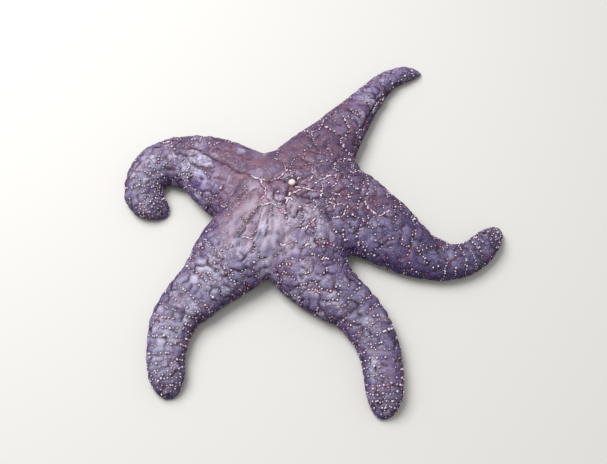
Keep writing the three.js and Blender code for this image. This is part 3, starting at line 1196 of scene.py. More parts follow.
@dataclass
class Relief:
    """What the net does to the skin: cushions between its lines, folds, and ribs beside the furrows.

    Attributes:
        surface: the skin in relief, once it is shaped.
        masks: what the skin's finish needs to know of each point, by name.
    """

    skin: Skin
    net: Net
    cushion: float = 1.05 * MM
    lift: float = 0.6 * MM
    valley: float = 1.0 * MM
    dome: float = 0.42 * MM
    dome_reach: float = 3.0 * MM
    pit_radius: float = 2.4 * MM
    pit_depth: float = 0.7 * MM
    rib_gap: float = 1.5 * MM
    rib_height: float = 0.12 * MM
    plumpness: float = 0.115 * MM
    surface: Surface = field(init=False)
    masks: dict[str, Array] = field(init=False)

    def nearest_strand(self) -> tuple[Array, Array, Array]:
        """What lies near each point of the skin.

        Returns:
            How far off its nearest strand is, that strand's depth, and how far off beads or cords are.
        """
        strands, points = self.net.strands, self.skin.base.points
        owner = np.repeat(np.arange(len(strands)), [len(strand.points) for strand in strands])
        index, gap = nearest(tree_of(np.concatenate([strand.points for strand in strands])), points)
        depth = np.array([strand.depth for strand in strands])[owner[index]]
        beaded = np.concatenate([strand.points for strand in strands if strand.line is not CREASE])
        return gap, depth, nearest(tree_of(beaded), points)[1]

    def shape(self) -> None:
        """Moves the skin, and keeps what its finish needs to know."""
        skin, net, place = self.skin, self.net, self.skin.place
        points, upper = skin.base.points, 1 - skin.under
        gap, depth, bead_gap = self.nearest_strand()
        outer = eased(0.5, 0.75, place.share)
        valley = skin.base.smooth(np.exp(-((gap / self.valley) ** 1.2)) * depth, 1)
        quiet = (1 - 0.3 * outer) * (1 - 0.45 * net.smooth) * (1 - 0.4 * net.stretched)
        domes = self.dome * bell(bead_gap, self.dome_reach)
        move = (self.lift - self.cushion * valley - domes + self.plumpness * net.cell_tone) * quiet * upper
        fold_shade = np.zeros(len(points))
        for fold in FOLDS:
            shift, crease = fold.relief(points[:, :2] - skin.plan.centre)
            move += shift * upper
            fold_shade = np.maximum(fold_shade, crease * upper)
        pit = bell(place.radius - 0.7 * self.pit_radius, 0.45 * self.pit_radius) * upper
        move -= self.pit_depth * pit
        ribs = self.rib_height * np.cos(2 * np.pi * place.run / self.rib_gap)
        beside = bell(np.abs(place.across) - 7 * MM, 4 * MM)
        move += ribs * beside * skin.under * (place.share < 0.96)
        move += (0.5 * noise(points, 15 * MM, 61) + 0.09 * noise(points, 3.2 * MM, 63)) * MM * upper
        self.surface = Surface(points + skin.normals * move[:, None], skin.base.quads)
        patchy = eased(-0.35, 0.5, noise(points, 11 * MM, 71))
        self.masks = {
            # crease and fold are where the colour is darkened: partly the dark skin of the net's lines, partly
            # painted shade in the folds
            "crease": skin.base.smooth(bell(gap, 0.85 * MM) * depth * upper, 1),
            "line": skin.base.smooth(bell(bead_gap, 1.4 * MM) * (0.4 + 0.6 * patchy) * upper, 1),
            "fold": fold_shade,
            "under": skin.base.smooth(skin.under, 2),
            "pale": skin.base.smooth(net.stretched * upper, 30),
            "calm": np.maximum(net.stretched, net.smooth) * upper,
            "pit": pit,
            **self.tones(),
        }

    def tones(self) -> dict[str, Array]:
        """How light, warm, violet and blotchy each point is, from its arm, its patches, its cushion and the
        shade painted on the arms' sides.

        Returns:
            The four values by name, a number for each point.
        """
        skin, net, place = self.skin, self.net, self.skin.place
        points = skin.base.points
        outward = eased(0.15, 0.85, place.share)
        tones = {"violet": np.zeros(len(points)), "blotchy": np.full(len(points), 0.12)}
        for key in ("lightness", "warmth"):
            root, tip = looks_of(place.arm, key).T
            tones[key] = skin.base.smooth(root + (tip - root) * outward, 60)
        ragged = 0.35 * noise(points, 7 * MM, 73)
        for patch in PATCHES:
            off = points[:, :2] - skin.plan.centre - np.array(patch.centre) * MM
            there = bell(lengths(off) / (patch.reach * MM) + ragged, 1.0)
            for key in tones:
                tones[key] = tones[key] + getattr(patch, key) * there
        # Painted shade: the arms' sides are painted darker and more violet where they turn down from the
        # ridge, from a fifth of the way out.
        side_shade = eased(0.24 * np.pi, 0.44 * np.pi, np.abs(place.turn)) * eased(0.2, 0.4, place.share)
        varied = np.maximum(net.drawn, 0.5 * eased(50 * MM, 25 * MM, place.radius))
        cushion = net.cell_tone * (0.17 + 0.16 * varied)
        tones["lightness"] += cushion - 0.3 * side_shade - 0.12 * net.smooth
        tones["violet"] += 0.4 * side_shade
        tones["blotchy"] *= 1 - net.stretched
        tones["warmth"] = np.maximum(tones["warmth"], 0.8 * net.smooth)
        return tones


# ---------------------------------------------------------------- finishes
class Tree:
    """Adds nodes to a shader's or a modifier's tree."""

    def __init__(self, tree: bpy.types.NodeTree) -> None:
        """Starts on an empty tree."""
        self.tree = tree
        tree.nodes.clear()

    def add(self, kind: str, inputs: Inputs | None = None, **settings: object) -> bpy.types.Node:
        """Adds one node.

        Args:
            kind: the node's type.
            inputs: a value, or a socket to link, for each named or numbered input.
            settings: the node's own properties.

        Returns:
            The node.
        """
        node = self.tree.nodes.new(kind)
        for key, value in settings.items():
            setattr(node, key, value)
        for key, value in (inputs or {}).items():
            if isinstance(value, bpy.types.NodeSocket):
                self.tree.links.new(value, node.inputs[key])
            else:
                node.inputs[key].default_value = value
        return node

    def out(self, kind: str, inputs: Inputs | None = None, socket: object = 0, **settings: object) -> Socket:
        """Adds one node as add does, and gives its first output, or the one named or numbered by socket."""
        return self.add(kind, inputs, **settings).outputs[socket]

    def attribute(self, name: str, socket: str = "Fac") -> Socket:
        """A number stored on the mesh, or a vector, in a shader."""
        return self.out("ShaderNodeAttribute", socket=socket, attribute_name=name)

    def math(self, operation: str, *values: object, clamp: bool = False) -> Socket:
        """A sum on one to three values."""
        return self.out("ShaderNodeMath", dict(enumerate(values)), operation=operation, use_clamp=clamp)

    def times(self, first: object, second: object, clamp: bool = False) -> Socket:
        """A product."""
        return self.math("MULTIPLY", first, second, clamp=clamp)

    def times_plus(self, first: object, second: object, third: object, clamp: bool = False) -> Socket:
        """The product of two values, and a third added to it."""
        return self.math("MULTIPLY_ADD", first, second, third, clamp=clamp)

    def less(self, first: object, second: object, clamp: bool = False) -> Socket:
        """A difference."""
        return self.math("SUBTRACT", first, second, clamp=clamp)

    def vector(self, operation: str, *values: object, **named: object) -> Socket:
        """A sum on vectors."""
        return self.out("ShaderNodeVectorMath", {**dict(enumerate(values)), **named}, operation=operation)

    def place(self) -> Socket:
        """Where a point is on its object, in a shader."""
        return self.out("ShaderNodeTexCoord", socket="Object")

    def bump(self, height: Socket, strength: float, depth: float) -> Socket:
        """The facing of a surface bumped by a height, in a shader."""
        return self.out("ShaderNodeBump", {"Height": height, "Strength": strength, "Distance": depth})

    def blend(self, share: object, first: object, second: object, way: str = "MIX") -> Socket:
        """Two colours mixed by a share."""
        return self.out("ShaderNodeMix", {0: share, 6: first, 7: second}, 2, data_type="RGBA", blend_type=way)

    def ramp(self, value: Socket, low: float, high: float) -> Socket:
        """A value eased from 0 at low to 1 at high."""
        given = {"Value": value, "From Min": low, "From Max": high}
        return self.out("ShaderNodeMapRange", given, interpolation_type="SMOOTHSTEP")

    def speckle(self, where: Socket, size: float, detail: float = 3) -> Socket:
        """Smooth noise of a size in metres, 0 to 1."""
        return self.out("ShaderNodeTexNoise", {"Vector": where, "Scale": 1 / size, "Detail": detail}, "Fac")


def new_material(name: str) -> tuple[bpy.types.Material, Tree]:
    """A material and a tree to build it in.

    Args:
        name: the material's name.

    Returns:
        The material and its tree.
    """
    material = bpy.data.materials.new(name)
    material.use_nodes = True
    return material, Tree(material.node_tree)


def finish_with(tree: Tree, colour: object, roughness: object, normal: object = None, **fixed: float) -> None:
    """Ends a material's tree in its shader.

    Args:
        tree: the material's tree.
        colour: the colour, or the socket that gives it.
        roughness: the roughness, or its socket.
        normal: the socket that gives the bumped normal, if there is one.
        fixed: the shader's own constants, by name with underscores for spaces.
    """
    inputs: Inputs = {"Base Color": colour, "Roughness": roughness}
    if normal is not None:
        inputs["Normal"] = normal
    inputs.update({key.replace("_", " "): value for key, value in fixed.items()})
    tree.add("ShaderNodeOutputMaterial", {"Surface": tree.out("ShaderNodeBsdfPrincipled", inputs)})


@dataclass(frozen=True)
class SkinFinish:
    """Moist leathery skin: lavender cushions, dark plum lines deepened with painted shade in the folds, and a
    pale tan underside.
    """

    deep: Colour = srgb(72, 62, 106)
    middle: Colour = srgb(128, 118, 158)
    pale: Colour = srgb(200, 196, 223)
    warm: Colour = srgb(148, 114, 127)
    violet: Colour = srgb(88, 40, 140)
    drawn: Colour = srgb(208, 188, 206)
    rose: Colour = srgb(172, 104, 128)
    # plum, nearly black, is the ground's darkest colour: partly the folds' own dark skin, partly painted shade
    plum: Colour = srgb(34, 20, 46)
    maroon: Colour = srgb(98, 38, 68)
    speck: Colour = srgb(216, 196, 216)
    tan: Colour = srgb(196, 170, 148)
    furrow_pale: Colour = srgb(222, 202, 176)
    mottle: tuple[Colour, Colour] = ((0.74, 0.72, 0.76, 1), (1.26, 1.28, 1.24, 1))
    bump_strength: float = 0.64
    bump_depth: float = 0.45 * MM

    def make(self) -> bpy.types.Material:
        """Builds the material.

        Returns:
            The material.
        """
        material, tree = new_material("moist plum skin")
        where = tree.place()
        large = tree.speckle(where, 12 * MM, 2)
        small = tree.speckle(where, 3 * MM, 3)
        tiny = tree.speckle(where, 0.8 * MM, 2)
        wrinkle = self.wrinkles(tree, where, large)
        dots = self.dots(tree, where, small)
        pleat_relief, red_streak = self.streaks(tree)
        calm = tree.times_plus(tree.attribute("pale"), -0.6, 1.0)
        drift = tree.times_plus(small, 0.55, tree.times_plus(large, 0.65, -0.6))
        light = tree.times_plus(drift, calm, tree.attribute("lightness"))
        blotch, rim = self.blotches(tree, where)
        light = tree.times_plus(blotch, 0.75, light)
        # Painted shade: the skin is darkened along the net's creases.
        light = tree.less(light, tree.times(tree.attribute("crease"), 0.36))
        # Painted light: the stretched skin's fine pleats are painted lighter on their crests and darker in
        # their troughs.
        light = tree.math("ADD", light, tree.times(pleat_relief, 0.4))
        colour = self.cushions(tree, where, light, large)
        colour = tree.blend(tree.times(red_streak, 0.5), colour, self.rose)
        # The creases, folds, wrinkles and plateau rims, and the skin round the larger spines, are darkened to
        # the plum and maroon ground: partly the skin's own dark lines, partly painted shade; the patchy line
        # along the beads is the skin's own colour.
        dark_lines_and_shade = tree.ramp(tree.attribute("crease"), 0.1, 0.8)
        for value, share in ((tree.attribute("line"), 0.7), (tree.attribute("fold"), 0.85), (wrinkle, 0.7),
                             (rim, 0.8), (tree.attribute("ring"), 0.75)):
            dark_lines_and_shade = tree.math("MAXIMUM", dark_lines_and_shade, tree.times(value, share))
        colour = tree.blend(dark_lines_and_shade, colour, self.ground(tree, where))
        colour = tree.blend(tree.times(tree.attribute("pit"), 0.5), colour, self.maroon)
        colour = tree.blend(tree.times(dots, 0.35), colour, self.speck)
        colour = tree.blend(1.0, colour, tree.blend(tiny, *self.mottle), "MULTIPLY")
        colour = tree.blend(tree.attribute("under"), colour, tree.blend(small, self.tan, self.furrow_pale))
        height = tree.times_plus(tiny, 0.8, tree.times(small, 0.8))
        height = tree.times_plus(dots, 0.4, height)
        height = tree.less(height, tree.times(wrinkle, 0.8))
        height = tree.times_plus(pleat_relief, 0.6, tree.times_plus(blotch, 0.9, height))
        bump = tree.bump(height, self.bump_strength, self.bump_depth)
        rough = tree.times_plus(small, 0.35, 0.28)
        finish_with(tree, colour, rough, bump, Coat_Weight=0.12, Coat_Roughness=0.25)
        return material

    def blotches(self, tree: Tree, where: Socket) -> tuple[Socket, Socket]:
        """Crisp-edged pale plateaus, -0.5 to 0.5 where the skin is blotchy, and thin folds at their rims,
        which the skin's colour darkens with painted shade.

        Args:
            tree: the material's tree.
            where: the place on the skin.

        Returns:
            The plateaus, and the folds.
        """
        lumps = tree.speckle(where, 7.5 * MM, 5)
        here = tree.attribute("blotchy")
        level = tree.less(tree.ramp(lumps, 0.465, 0.51), 0.5)
        beside = tree.math("ABSOLUTE", tree.less(lumps, 0.48))
        rim = tree.less(1.0, tree.ramp(beside, 0.0, 0.02))
        return tree.times(level, here), tree.times(rim, tree.ramp(here, 0.1, 0.5))

    def cushions(self, tree: Tree, where: Socket, light: Socket, large: Socket) -> Socket:
        """The soft cushions' colour, from dark violet to pale lavender, warmer and redder in patches.

        Args:
            tree: the material's tree.
            where: the place on the skin.
            light: how light the skin is there.
            large: coarse noise, 0 to 1.

        Returns:
            The colour.
        """
        colour = tree.blend(tree.ramp(light, -0.15, 0.5), self.deep, self.middle)
        colour = tree.blend(tree.ramp(light, 0.42, 1.1), colour, self.pale)
        patch = tree.ramp(tree.speckle(where, 9 * MM, 2), 0.35, 0.65)
        warm = tree.times(tree.attribute("warmth"), tree.times_plus(patch, 0.6, 0.4), clamp=True)
        colour = tree.blend(warm, colour, tree.blend(0.6, self.warm, colour, "SOFT_LIGHT"))
        violet = tree.times(tree.attribute("violet"), 0.8, clamp=True)
        colour = tree.blend(violet, colour, tree.blend(0.62, colour, self.violet))
        drawn = tree.times(tree.attribute("pale"), tree.ramp(large, 0.35, 0.6))
        return tree.blend(tree.times(drawn, 0.45), colour, self.drawn)

    def ground(self, tree: Tree, where: Socket) -> Socket:
        """The colour in the folds and round the beads, partly their own dark skin and partly painted shade:
        plum, and maroon where the skin is warm.

        Args:
            tree: the material's tree.
            where: the place on the skin.

        Returns:
            The colour.
        """
        patch = tree.ramp(tree.speckle(where, 6 * MM, 2), 0.46, 0.64)
        red = tree.times_plus(tree.attribute("warmth"), 0.5, patch, clamp=True)
        return tree.blend(tree.times(red, 0.8), self.plum, self.maroon)

    def wrinkles(self, tree: Tree, where: Socket, large: Socket) -> Socket:
        """Fine wrinkles that part the skin into small uneven lozenges; the colour is darkened in them with
        painted shade.

        Args:
            tree: the material's tree.
            where: the place on the skin.
            large: coarse noise, 0 to 1.

        Returns:
            How deep in a wrinkle the place is, 0 to 1.
        """
        given = {"Vector": where, "Scale": 1 / (2.5 * MM), "Detail": 2}
        warp = tree.out("ShaderNodeTexNoise", given, "Color")
        given = {"Vector": tree.vector("MULTIPLY_ADD", warp, (2.2 * MM,) * 3, where), "Scale": 1 / (3.5 * MM)}
        cells = tree.out("ShaderNodeTexVoronoi", given, "Distance", feature="DISTANCE_TO_EDGE")
        thin = tree.less(1.0, tree.ramp(cells, 0.02, 0.15))
        here = tree.less(tree.ramp(large, 0.36, 0.6), tree.times(tree.attribute("calm"), 0.8), clamp=True)
        return tree.times(thin, here)

    def dots(self, tree: Tree, where: Socket, small: Socket) -> Socket:
        """Tiny pale swellings scattered over the skin.

        Args:
            tree: the material's tree.
            where: the place on the skin.
            small: finer noise, 0 to 1.

        Returns:
            How swollen the place is, 0 to 1.
        """
        dots = tree.out("ShaderNodeTexVoronoi", {"Vector": where, "Scale": 1 / (1.5 * MM)}, "Distance")
        dots = tree.ramp(tree.times(dots, -1.0), -0.34, -0.14)
        return tree.times(dots, tree.ramp(small, 0.42, 0.6))

    def streaks(self, tree: Tree) -> tuple[Socket, Socket]:
        """Fine folds and red streaks that run out from the middle through the stretched skin.

        Args:
            tree: the material's tree.

        Returns:
            The folds' height, and how strong the streaks are.
        """
        drawn = tree.vector("MULTIPLY", tree.attribute("polar", "Vector"), (0.2, 1, 1))
        fine = tree.math("ADD", tree.speckle(drawn, 1.9 * MM, 3), -0.5)
        red = tree.ramp(tree.speckle(drawn, 4.5 * MM, 1), 0.54, 0.72)
        pale = tree.attribute("pale")
        return tree.times(fine, tree.times(pale, 1.4)), tree.times(red, pale)


@dataclass(frozen=True)
class SpineFinish:
    """What grows on the skin, one colour at its foot and another at its head; as it stands, chalky spines."""

    name: str = "chalky spine"
    foot: Colour = srgb(104, 62, 92)
    # the head's near-white is the spine's own chalk, made as white as it goes to stand in also for wet glints
    # on it: partly painted highlight
    head: Colour = srgb(252, 246, 255)
    stained: Colour = srgb(224, 178, 206)
    head_from: float = 0.45
    mottle: tuple[Colour, Colour] = ((0.85, 0.84, 0.85, 1), (1.1, 1.1, 1.1, 1))

    def make(self) -> bpy.types.Material:
        """Builds the material.

        Returns:
            The material.
        """
        material, tree = new_material(self.name)
        head = tree.blend(tree.attribute("tint"), self.head, self.stained)
        rise = tree.ramp(tree.attribute("rise"), self.head_from - 0.2, self.head_from + 0.25)
        grit = tree.speckle(tree.place(), 0.3 * MM, 2)
        colour = tree.blend(rise, self.foot, head)
        colour = tree.blend(1.0, colour, tree.blend(grit, *self.mottle), "MULTIPLY")
        finish_with(tree, colour, 0.5, tree.bump(grit, 0.3, 0.1 * MM))
        return material


SPINE_FINISH = SpineFinish()
GRAIN_FINISH = SpineFinish("fine grain", srgb(110, 68, 100), srgb(222, 200, 218), srgb(150, 108, 142))
# Dark grains along the deeper folds: partly skin gills, partly painted shade darkening the folds.
GILL_AND_SHADE_FINISH = SpineFinish("skin gill", srgb(44, 28, 54), srgb(70, 44, 76), srgb(104, 54, 84), 0.5)
FOOT_FINISH = SpineFinish("tube foot", srgb(232, 214, 184), srgb(214, 160, 122), srgb(228, 184, 142), 0.8)
NEEDLE_FINISH = SpineFinish("guard spine", srgb(206, 176, 160), srgb(240, 226, 214), srgb(226, 196, 184), 0.3)
EYE_FINISH = SpineFinish("eyespot", srgb(150, 40, 36), srgb(196, 52, 40), srgb(196, 52, 40), 0.3)


# ---------------------------------------------------------------- what grows on the skin
@dataclass(frozen=True)
class Shape:
    """A small lathed shape, one high and one in radius, planted many times over."""

    sides: int
    levels: int
    profile: tuple[tuple[float, float], ...]


class Growth(Enum):
    """The small things that grow on a sea star."""

    SPINE = Shape(7, 4, ((0, 0.72), (0.5, 0.78), (0.78, 1.0), (1, 0.55)))
    GRAIN = Shape(5, 2, ((0, 0.9), (0.5, 1.0), (1, 0.45)))
    FOOT = Shape(8, 5, ((0, 0.6), (0.5, 0.48), (0.8, 0.55), (0.92, 1.0), (1, 0.8)))
    NEEDLE = Shape(6, 3, ((0, 0.8), (0.4, 0.9), (0.8, 0.85), (1, 0.4)))


@dataclass
class Crop:
    """Where a kind of growth stands: its roots, the way each faces, and each one's size and tint."""

    points: Array
    facing: Array
    sizes: Array
    tint: Array
    roots: Array

    def part(self, chosen: Array) -> "Crop":
        """Some of the crop."""
        return Crop(*(getattr(self, key)[chosen] for key in ("points", "facing", "sizes", "tint", "roots")))


@dataclass
class Planter:
    """Plants a growth on its roots with geometry nodes, as a plain mesh."""

    growth: Growth
    material: bpy.types.Material
    patch: float = 0.003

    def tree(self) -> bpy.types.NodeTree:
        """The modifier's tree, with the shape's counts as its inputs.

        Returns:
            The finished tree.
        """
        made = bpy.data.node_groups.new("plant " + self.growth.name.lower(), "GeometryNodeTree")
        for name, kind in (("Geometry", "Geometry"), ("Sides", "Int"), ("Levels", "Int"), ("Patch", "Float")):
            made.interface.new_socket(name, in_out="INPUT", socket_type="NodeSocket" + kind)
        made.interface.new_socket("Geometry", in_out="OUTPUT", socket_type="NodeSocketGeometry")
        tree = Tree(made)
        given = tree.add("NodeGroupInput").outputs
        counts = {"Vertices": given["Sides"], "Side Segments": given["Levels"], "Radius": 1.0, "Depth": 1.0}
        peg = tree.add("GeometryNodeMeshCylinder", counts, fill_type="TRIANGLE_FAN")
        spot = tree.add("ShaderNodeSeparateXYZ", {0: tree.out("GeometryNodeInputPosition")}).outputs
        rise = tree.math("ADD", spot[2], 0.5)
        curve = tree.add("ShaderNodeFloatCurve", {"Value": rise})
        points = curve.mapping.curves[0].points
        for at, width in self.growth.value.profile[1:-1]:
            points.new(at, width)
        for point, (at, width) in zip(points, self.growth.value.profile):
            point.location = (at, width)
        curve.mapping.update()
        wide = curve.outputs[0]
        drawn = {0: tree.times(spot[0], wide), 1: tree.times(spot[1], wide), 2: rise}
        shaped = tree.out("ShaderNodeCombineXYZ", drawn)
        moved = self.store(tree, peg.outputs["Mesh"], "rise", "FLOAT", "POINT", rise)
        moved = self.store(tree, moved, "patch", "FLOAT2", "CORNER", peg.outputs["UV Map"])
        moved = tree.out("GeometryNodeSetPosition", {"Geometry": moved, "Position": shaped})
        facing = self.named(tree, "facing")
        turned = tree.out("FunctionNodeAlignRotationToVector", {"Vector": facing}, axis="Z")
        planted = tree.out("GeometryNodeInstanceOnPoints",
                           {"Points": given["Geometry"], "Instance": moved, "Rotation": turned,
                            "Scale": self.named(tree, "size")})
        plain = tree.out("GeometryNodeRealizeInstances", {0: planted})
        patch = tree.vector("SUBTRACT", self.named(tree, "patch"), (0.5, 0.5, 0))
        patch = tree.vector("SCALE", patch, Scale=given["Patch"])
        flat = tree.vector("ADD", self.named(tree, "root"), patch)
        plain = self.store(tree, plain, "OFBake", "FLOAT2", "CORNER", flat)
        for spent in ("patch", "facing", "size", "root"):
            plain = tree.out("GeometryNodeRemoveAttribute", {"Geometry": plain, "Name": spent})
        plain = tree.out("GeometryNodeSetMaterial", {"Geometry": plain, "Material": self.material})
        tree.add("NodeGroupOutput", {0: plain})
        return made

    @staticmethod
    def named(tree: Tree, name: str) -> Socket:
        """Reads a stored vector in a modifier's tree."""
        return tree.out("GeometryNodeInputNamedAttribute", {"Name": name}, data_type="FLOAT_VECTOR")

    @staticmethod
    def store(tree: Tree, geometry: Socket, name: str, kind: str, domain: str, value: Socket) -> Socket:
        """Stores a value on a geometry in a modifier's tree."""
        given = {"Geometry": geometry, "Name": name, "Value": value}
        return tree.out("GeometryNodeStoreNamedAttribute", given, data_type=kind, domain=domain)

    def plant(self, name: str, crop: Crop) -> bpy.types.Object:
        """Makes one piece of planted shapes.

        Args:
            name: the piece's name.
            crop: where they stand.

        Returns:
            The piece, a plain mesh.
        """
        mesh = bpy.data.meshes.new(name + "_roots")
        mesh.from_pydata(crop.points.tolist(), [], [])
        put_attribute(mesh, "facing", crop.facing)
        put_attribute(mesh, "size", crop.sizes)
        put_attribute(mesh, "tint", crop.tint)
        put_attribute(mesh, "root", np.c_[crop.roots, np.zeros(len(crop.roots))])
        bed = new_object(name + "_roots", mesh)
        tree = self.tree()
        modifier = bed.modifiers.new("plant", "NODES")
        modifier.node_group = tree
        values = {"Sides": self.growth.value.sides, "Levels": self.growth.value.levels, "Patch": self.patch}
        for item in tree.interface.items_tree:
            if item.in_out == "INPUT" and item.name in values:
                modifier[item.identifier] = values[item.name]
        plain = evaluated_mesh(bed)
        bpy.data.objects.remove(bed)
        plain.name = name
        shade_smooth(plain)
        return new_object(name, plain)


@dataclass
class Coat:
    """Everything that grows on the skin: spines and grains on the net, dark grains in the deeper folds that
    are partly painted shade, feet and guard spines below.

    A gap is the usual distance to the next one in a row, and a room is the least distance between two. The
    places of the foot rows across a furrow, and the radii of grains and gills, are in millimetres.
    """

    relief: Relief
    net: Net
    unwrap: Unwrap
    rng: np.random.Generator
    bead_gap: float = 2.45 * MM
    cord_gap: float = 0.62 * MM
    bead_radius: float = 0.5 * MM
    cord_radius: float = 0.5 * MM
    bead_height: float = 1.0 * MM
    cord_height: float = 0.7 * MM
    twin_share: float = 0.1
    twin_size: float = 0.8
    tip_gap: float = 2.6 * MM
    small_bead: float = 0.72
    small_bead_room: float = 0.8 * MM
    bead_room: float = 1.15 * MM
    cord_room: float = 0.42 * MM
    sunk: float = 0.35 * MM
    floor_clearance: float = 0.08 * MM
    foot_gap: float = 2.3 * MM
    foot_rows: tuple[float, ...] = (-2.9, -1.1, 1.1, 2.9)
    foot_radius: float = 0.85 * MM
    foot_height: float = 9 * MM
    needle_gap: float = 1.35 * MM
    needle_radius: float = 0.3 * MM
    needle_height: float = 2.6 * MM
    mouth_radius: float = 8.2 * MM
    eye_size: float = 0.8 * MM
    lone_grains: int = 4500
    grain_gap: float = 1.2 * MM
    grain_radii: Range = (0.14, 0.27)
    gill_shade_depth: float = 0.62
    gill_shade_gap: float = 0.5 * MM
    gill_shade_radii: Range = (0.16, 0.3)
    gill_shade_limit: int = 6000

    def __post_init__(self) -> None:
        """Prepares to find places on the finished skin."""
        self.lookup = self.relief.surface.lookup()
        self.vertices = tree_of(self.relief.surface.points)

    def on_skin(self, points: Array) -> tuple[Array, Array]:
        """The nearest places on the skin, and the way that the smooth skin faces there."""
        places = nearest_on(self.lookup, points)
        return places, self.relief.skin.normals[nearest(self.vertices, places)[0]]

    def crop(self, points: Array, radius: Array, height: Array, tint: Array, lean: Array | float = 0.0,
             facing: Array | None = None) -> Crop:
        """Roots on the skin for one kind of growth, each kept short enough to stay off the floor.

        Args:
            points: about where each stands.
            radius: each one's radius.
            height: each one's height, with what is sunk in the skin.
            tint: each one's tint, 0 to 1.
            lean: a way that each leans, added to the way that the skin faces.
            facing: which way each stands, where that isn't the way that the skin faces.

        Returns:
            The crop.
        """
        places, outward = self.on_skin(points)
        roots = self.unwrap.roots(places, outward)
        facing = unit((outward if facing is None else facing) + lean)
        feet = places - facing * self.sunk
        down = np.maximum(-facing[:, 2], 1e-6)
        level = np.sqrt(1 - facing[:, 2] ** 2) * radius
        height = np.minimum(height, (feet[:, 2] - self.floor_clearance - level) / down)
        crop = Crop(feet, facing, np.stack([radius, radius, height], 1), tint, roots)
        return crop.part(height > 1.3 * self.sunk)

    def along(self, strand: Strand, gap: float, wander: float) -> Array:
        """Places strung along a strand at an uneven gap, each a little off it.

        Args:
            strand: the line that they follow.
            gap: the usual distance to the next one.
            wander: how far off the line they stray.

        Returns:
            n x 3 places.
        """
        run = run_of(strand.points)
        steps = gap * np.clip(self.rng.lognormal(-0.04, 0.3, int(run[-1] / gap * 2.5) + 3), 0.6, 2.6)
        at = np.cumsum(steps) - gap * self.rng.uniform(0.3, 1)
        at = at[(at > 0) & (at < run[-1])]
        spots = sampled(strand.points, run, at)
        return spots + self.rng.normal(0, wander, spots.shape)

    def thinned(self, points: Array, gaps: Array) -> Array:
        """Which of some points to keep so that none is closer than its gap to one kept before it.

        Args:
            points: n x 3 places, in the order in which they are kept.
            gaps: the least distance from each to one that is kept before it.

        Returns:
            True for each one that is kept.
        """
        tree, keep = tree_of(points), np.ones(len(points), bool)
        for i, point in enumerate(points):
            if keep[i]:
                for _, other, gap in tree.find_range(Vector(point), float(gaps.max())):
                    if other > i and gap < gaps[other]:
                        keep[other] = False
        return keep

    def spines(self) -> Crop:
        """The single spines of the loops, rows, margins and tips, and the fused ones of the cords.

        Returns:
            The crop.
        """
        skin, groups = self.relief.skin, []
        for strand in self.net.strands:
            if strand.line is CORD:
                groups.append((self.along(strand, self.cord_gap, 0.1 * MM), strand.size, False))
            elif strand.line is BEADS:
                gap = self.bead_gap * strand.spacing
                groups.append((self.along(strand, gap, 0.25 * MM), strand.size, True))
        beads = np.concatenate([spots for spots, _, alone in groups if alone])
        twins = beads[self.rng.random(len(beads)) < self.twin_share]
        tip_gap = self.tip_gap / looks_of(skin.place.arm, "beaded")
        tips = self.net.spread((skin.place.share > 0.9) & (skin.under < 0.4), tip_gap)
        groups.append((twins + self.rng.normal(0, 0.9 * MM, twins.shape), self.twin_size, True))
        groups.append((skin.base.points[tips], self.twin_size, True))
        groups.sort(key=lambda group: group[2])
        points = np.concatenate([spots for spots, _, _ in groups])
        size, alone = (np.concatenate([np.full(len(group[0]), group[i]) for group in groups]) for i in (1, 2))
        room = np.where(size < self.small_bead, self.small_bead_room, self.bead_room)
        keep = self.thinned(points, np.where(alone, room, self.cord_room))
        points, size, alone = points[keep], size[keep], alone[keep]
        size = size * np.clip(self.rng.lognormal(0, 0.22, len(size)), 0.6, 1.7)
        uneven = noise(points, 1.9 * MM, 81)
        size = np.where(alone, size, np.clip(size * (1.0 + 0.36 * uneven), 0.4, 1.35))
        radius = np.where(alone, self.bead_radius, self.cord_radius) * size
        height = self.sunk + np.where(alone, self.bead_height, self.cord_height) * size
        edge = eased(0.3 * np.pi, 0.5 * np.pi, np.abs(skin.plan.locate(points).turn))
        tint = np.where(alone, self.rng.beta(1.1, 2.6, len(points)), np.clip(0.45 - 0.8 * uneven, 0, 1))
        return self.crop(points, radius * (1 - 0.3 * edge), height - 0.65 * MM * edge, tint,
                         self.rng.normal(0, 0.14, (len(points), 3)))

    def rings(self, crop: Crop) -> Array:
        """How far the skin is darkened round the larger spines, at each of its points: partly their dark
        ground, partly painted shadow at their feet.

        Args:
            crop: the crop of spines.

        Returns:
            A number for each point, 0 to 1.
        """
        large = crop.part(crop.sizes[:, 0] > 0.9 * self.bead_radius)
        gap = nearest(tree_of(large.points), self.relief.surface.points)[1]
        return bell(gap - 0.5 * MM, 1.0 * MM) * (1 - self.relief.skin.under)

    def grains(self) -> Crop:
        """The grains that crowd round the spines and dot the cushions.

        Returns:
            The crop.
        """
        lines = [strand for strand in self.net.strands if strand.line is not CREASE]
        crowd = [self.along(strand, self.grain_gap, 0.8 * MM) for strand in lines]
        upper = np.flatnonzero(self.relief.skin.under < 0.3)
        lone = self.relief.surface.points[self.rng.choice(upper, self.lone_grains, replace=False)]
        points = np.concatenate([*crowd, lone])
        radius = self.rng.uniform(*self.grain_radii, len(points)) * MM
        return self.crop(points, radius, radius * 1.3 + self.sunk, self.rng.random(len(points)))

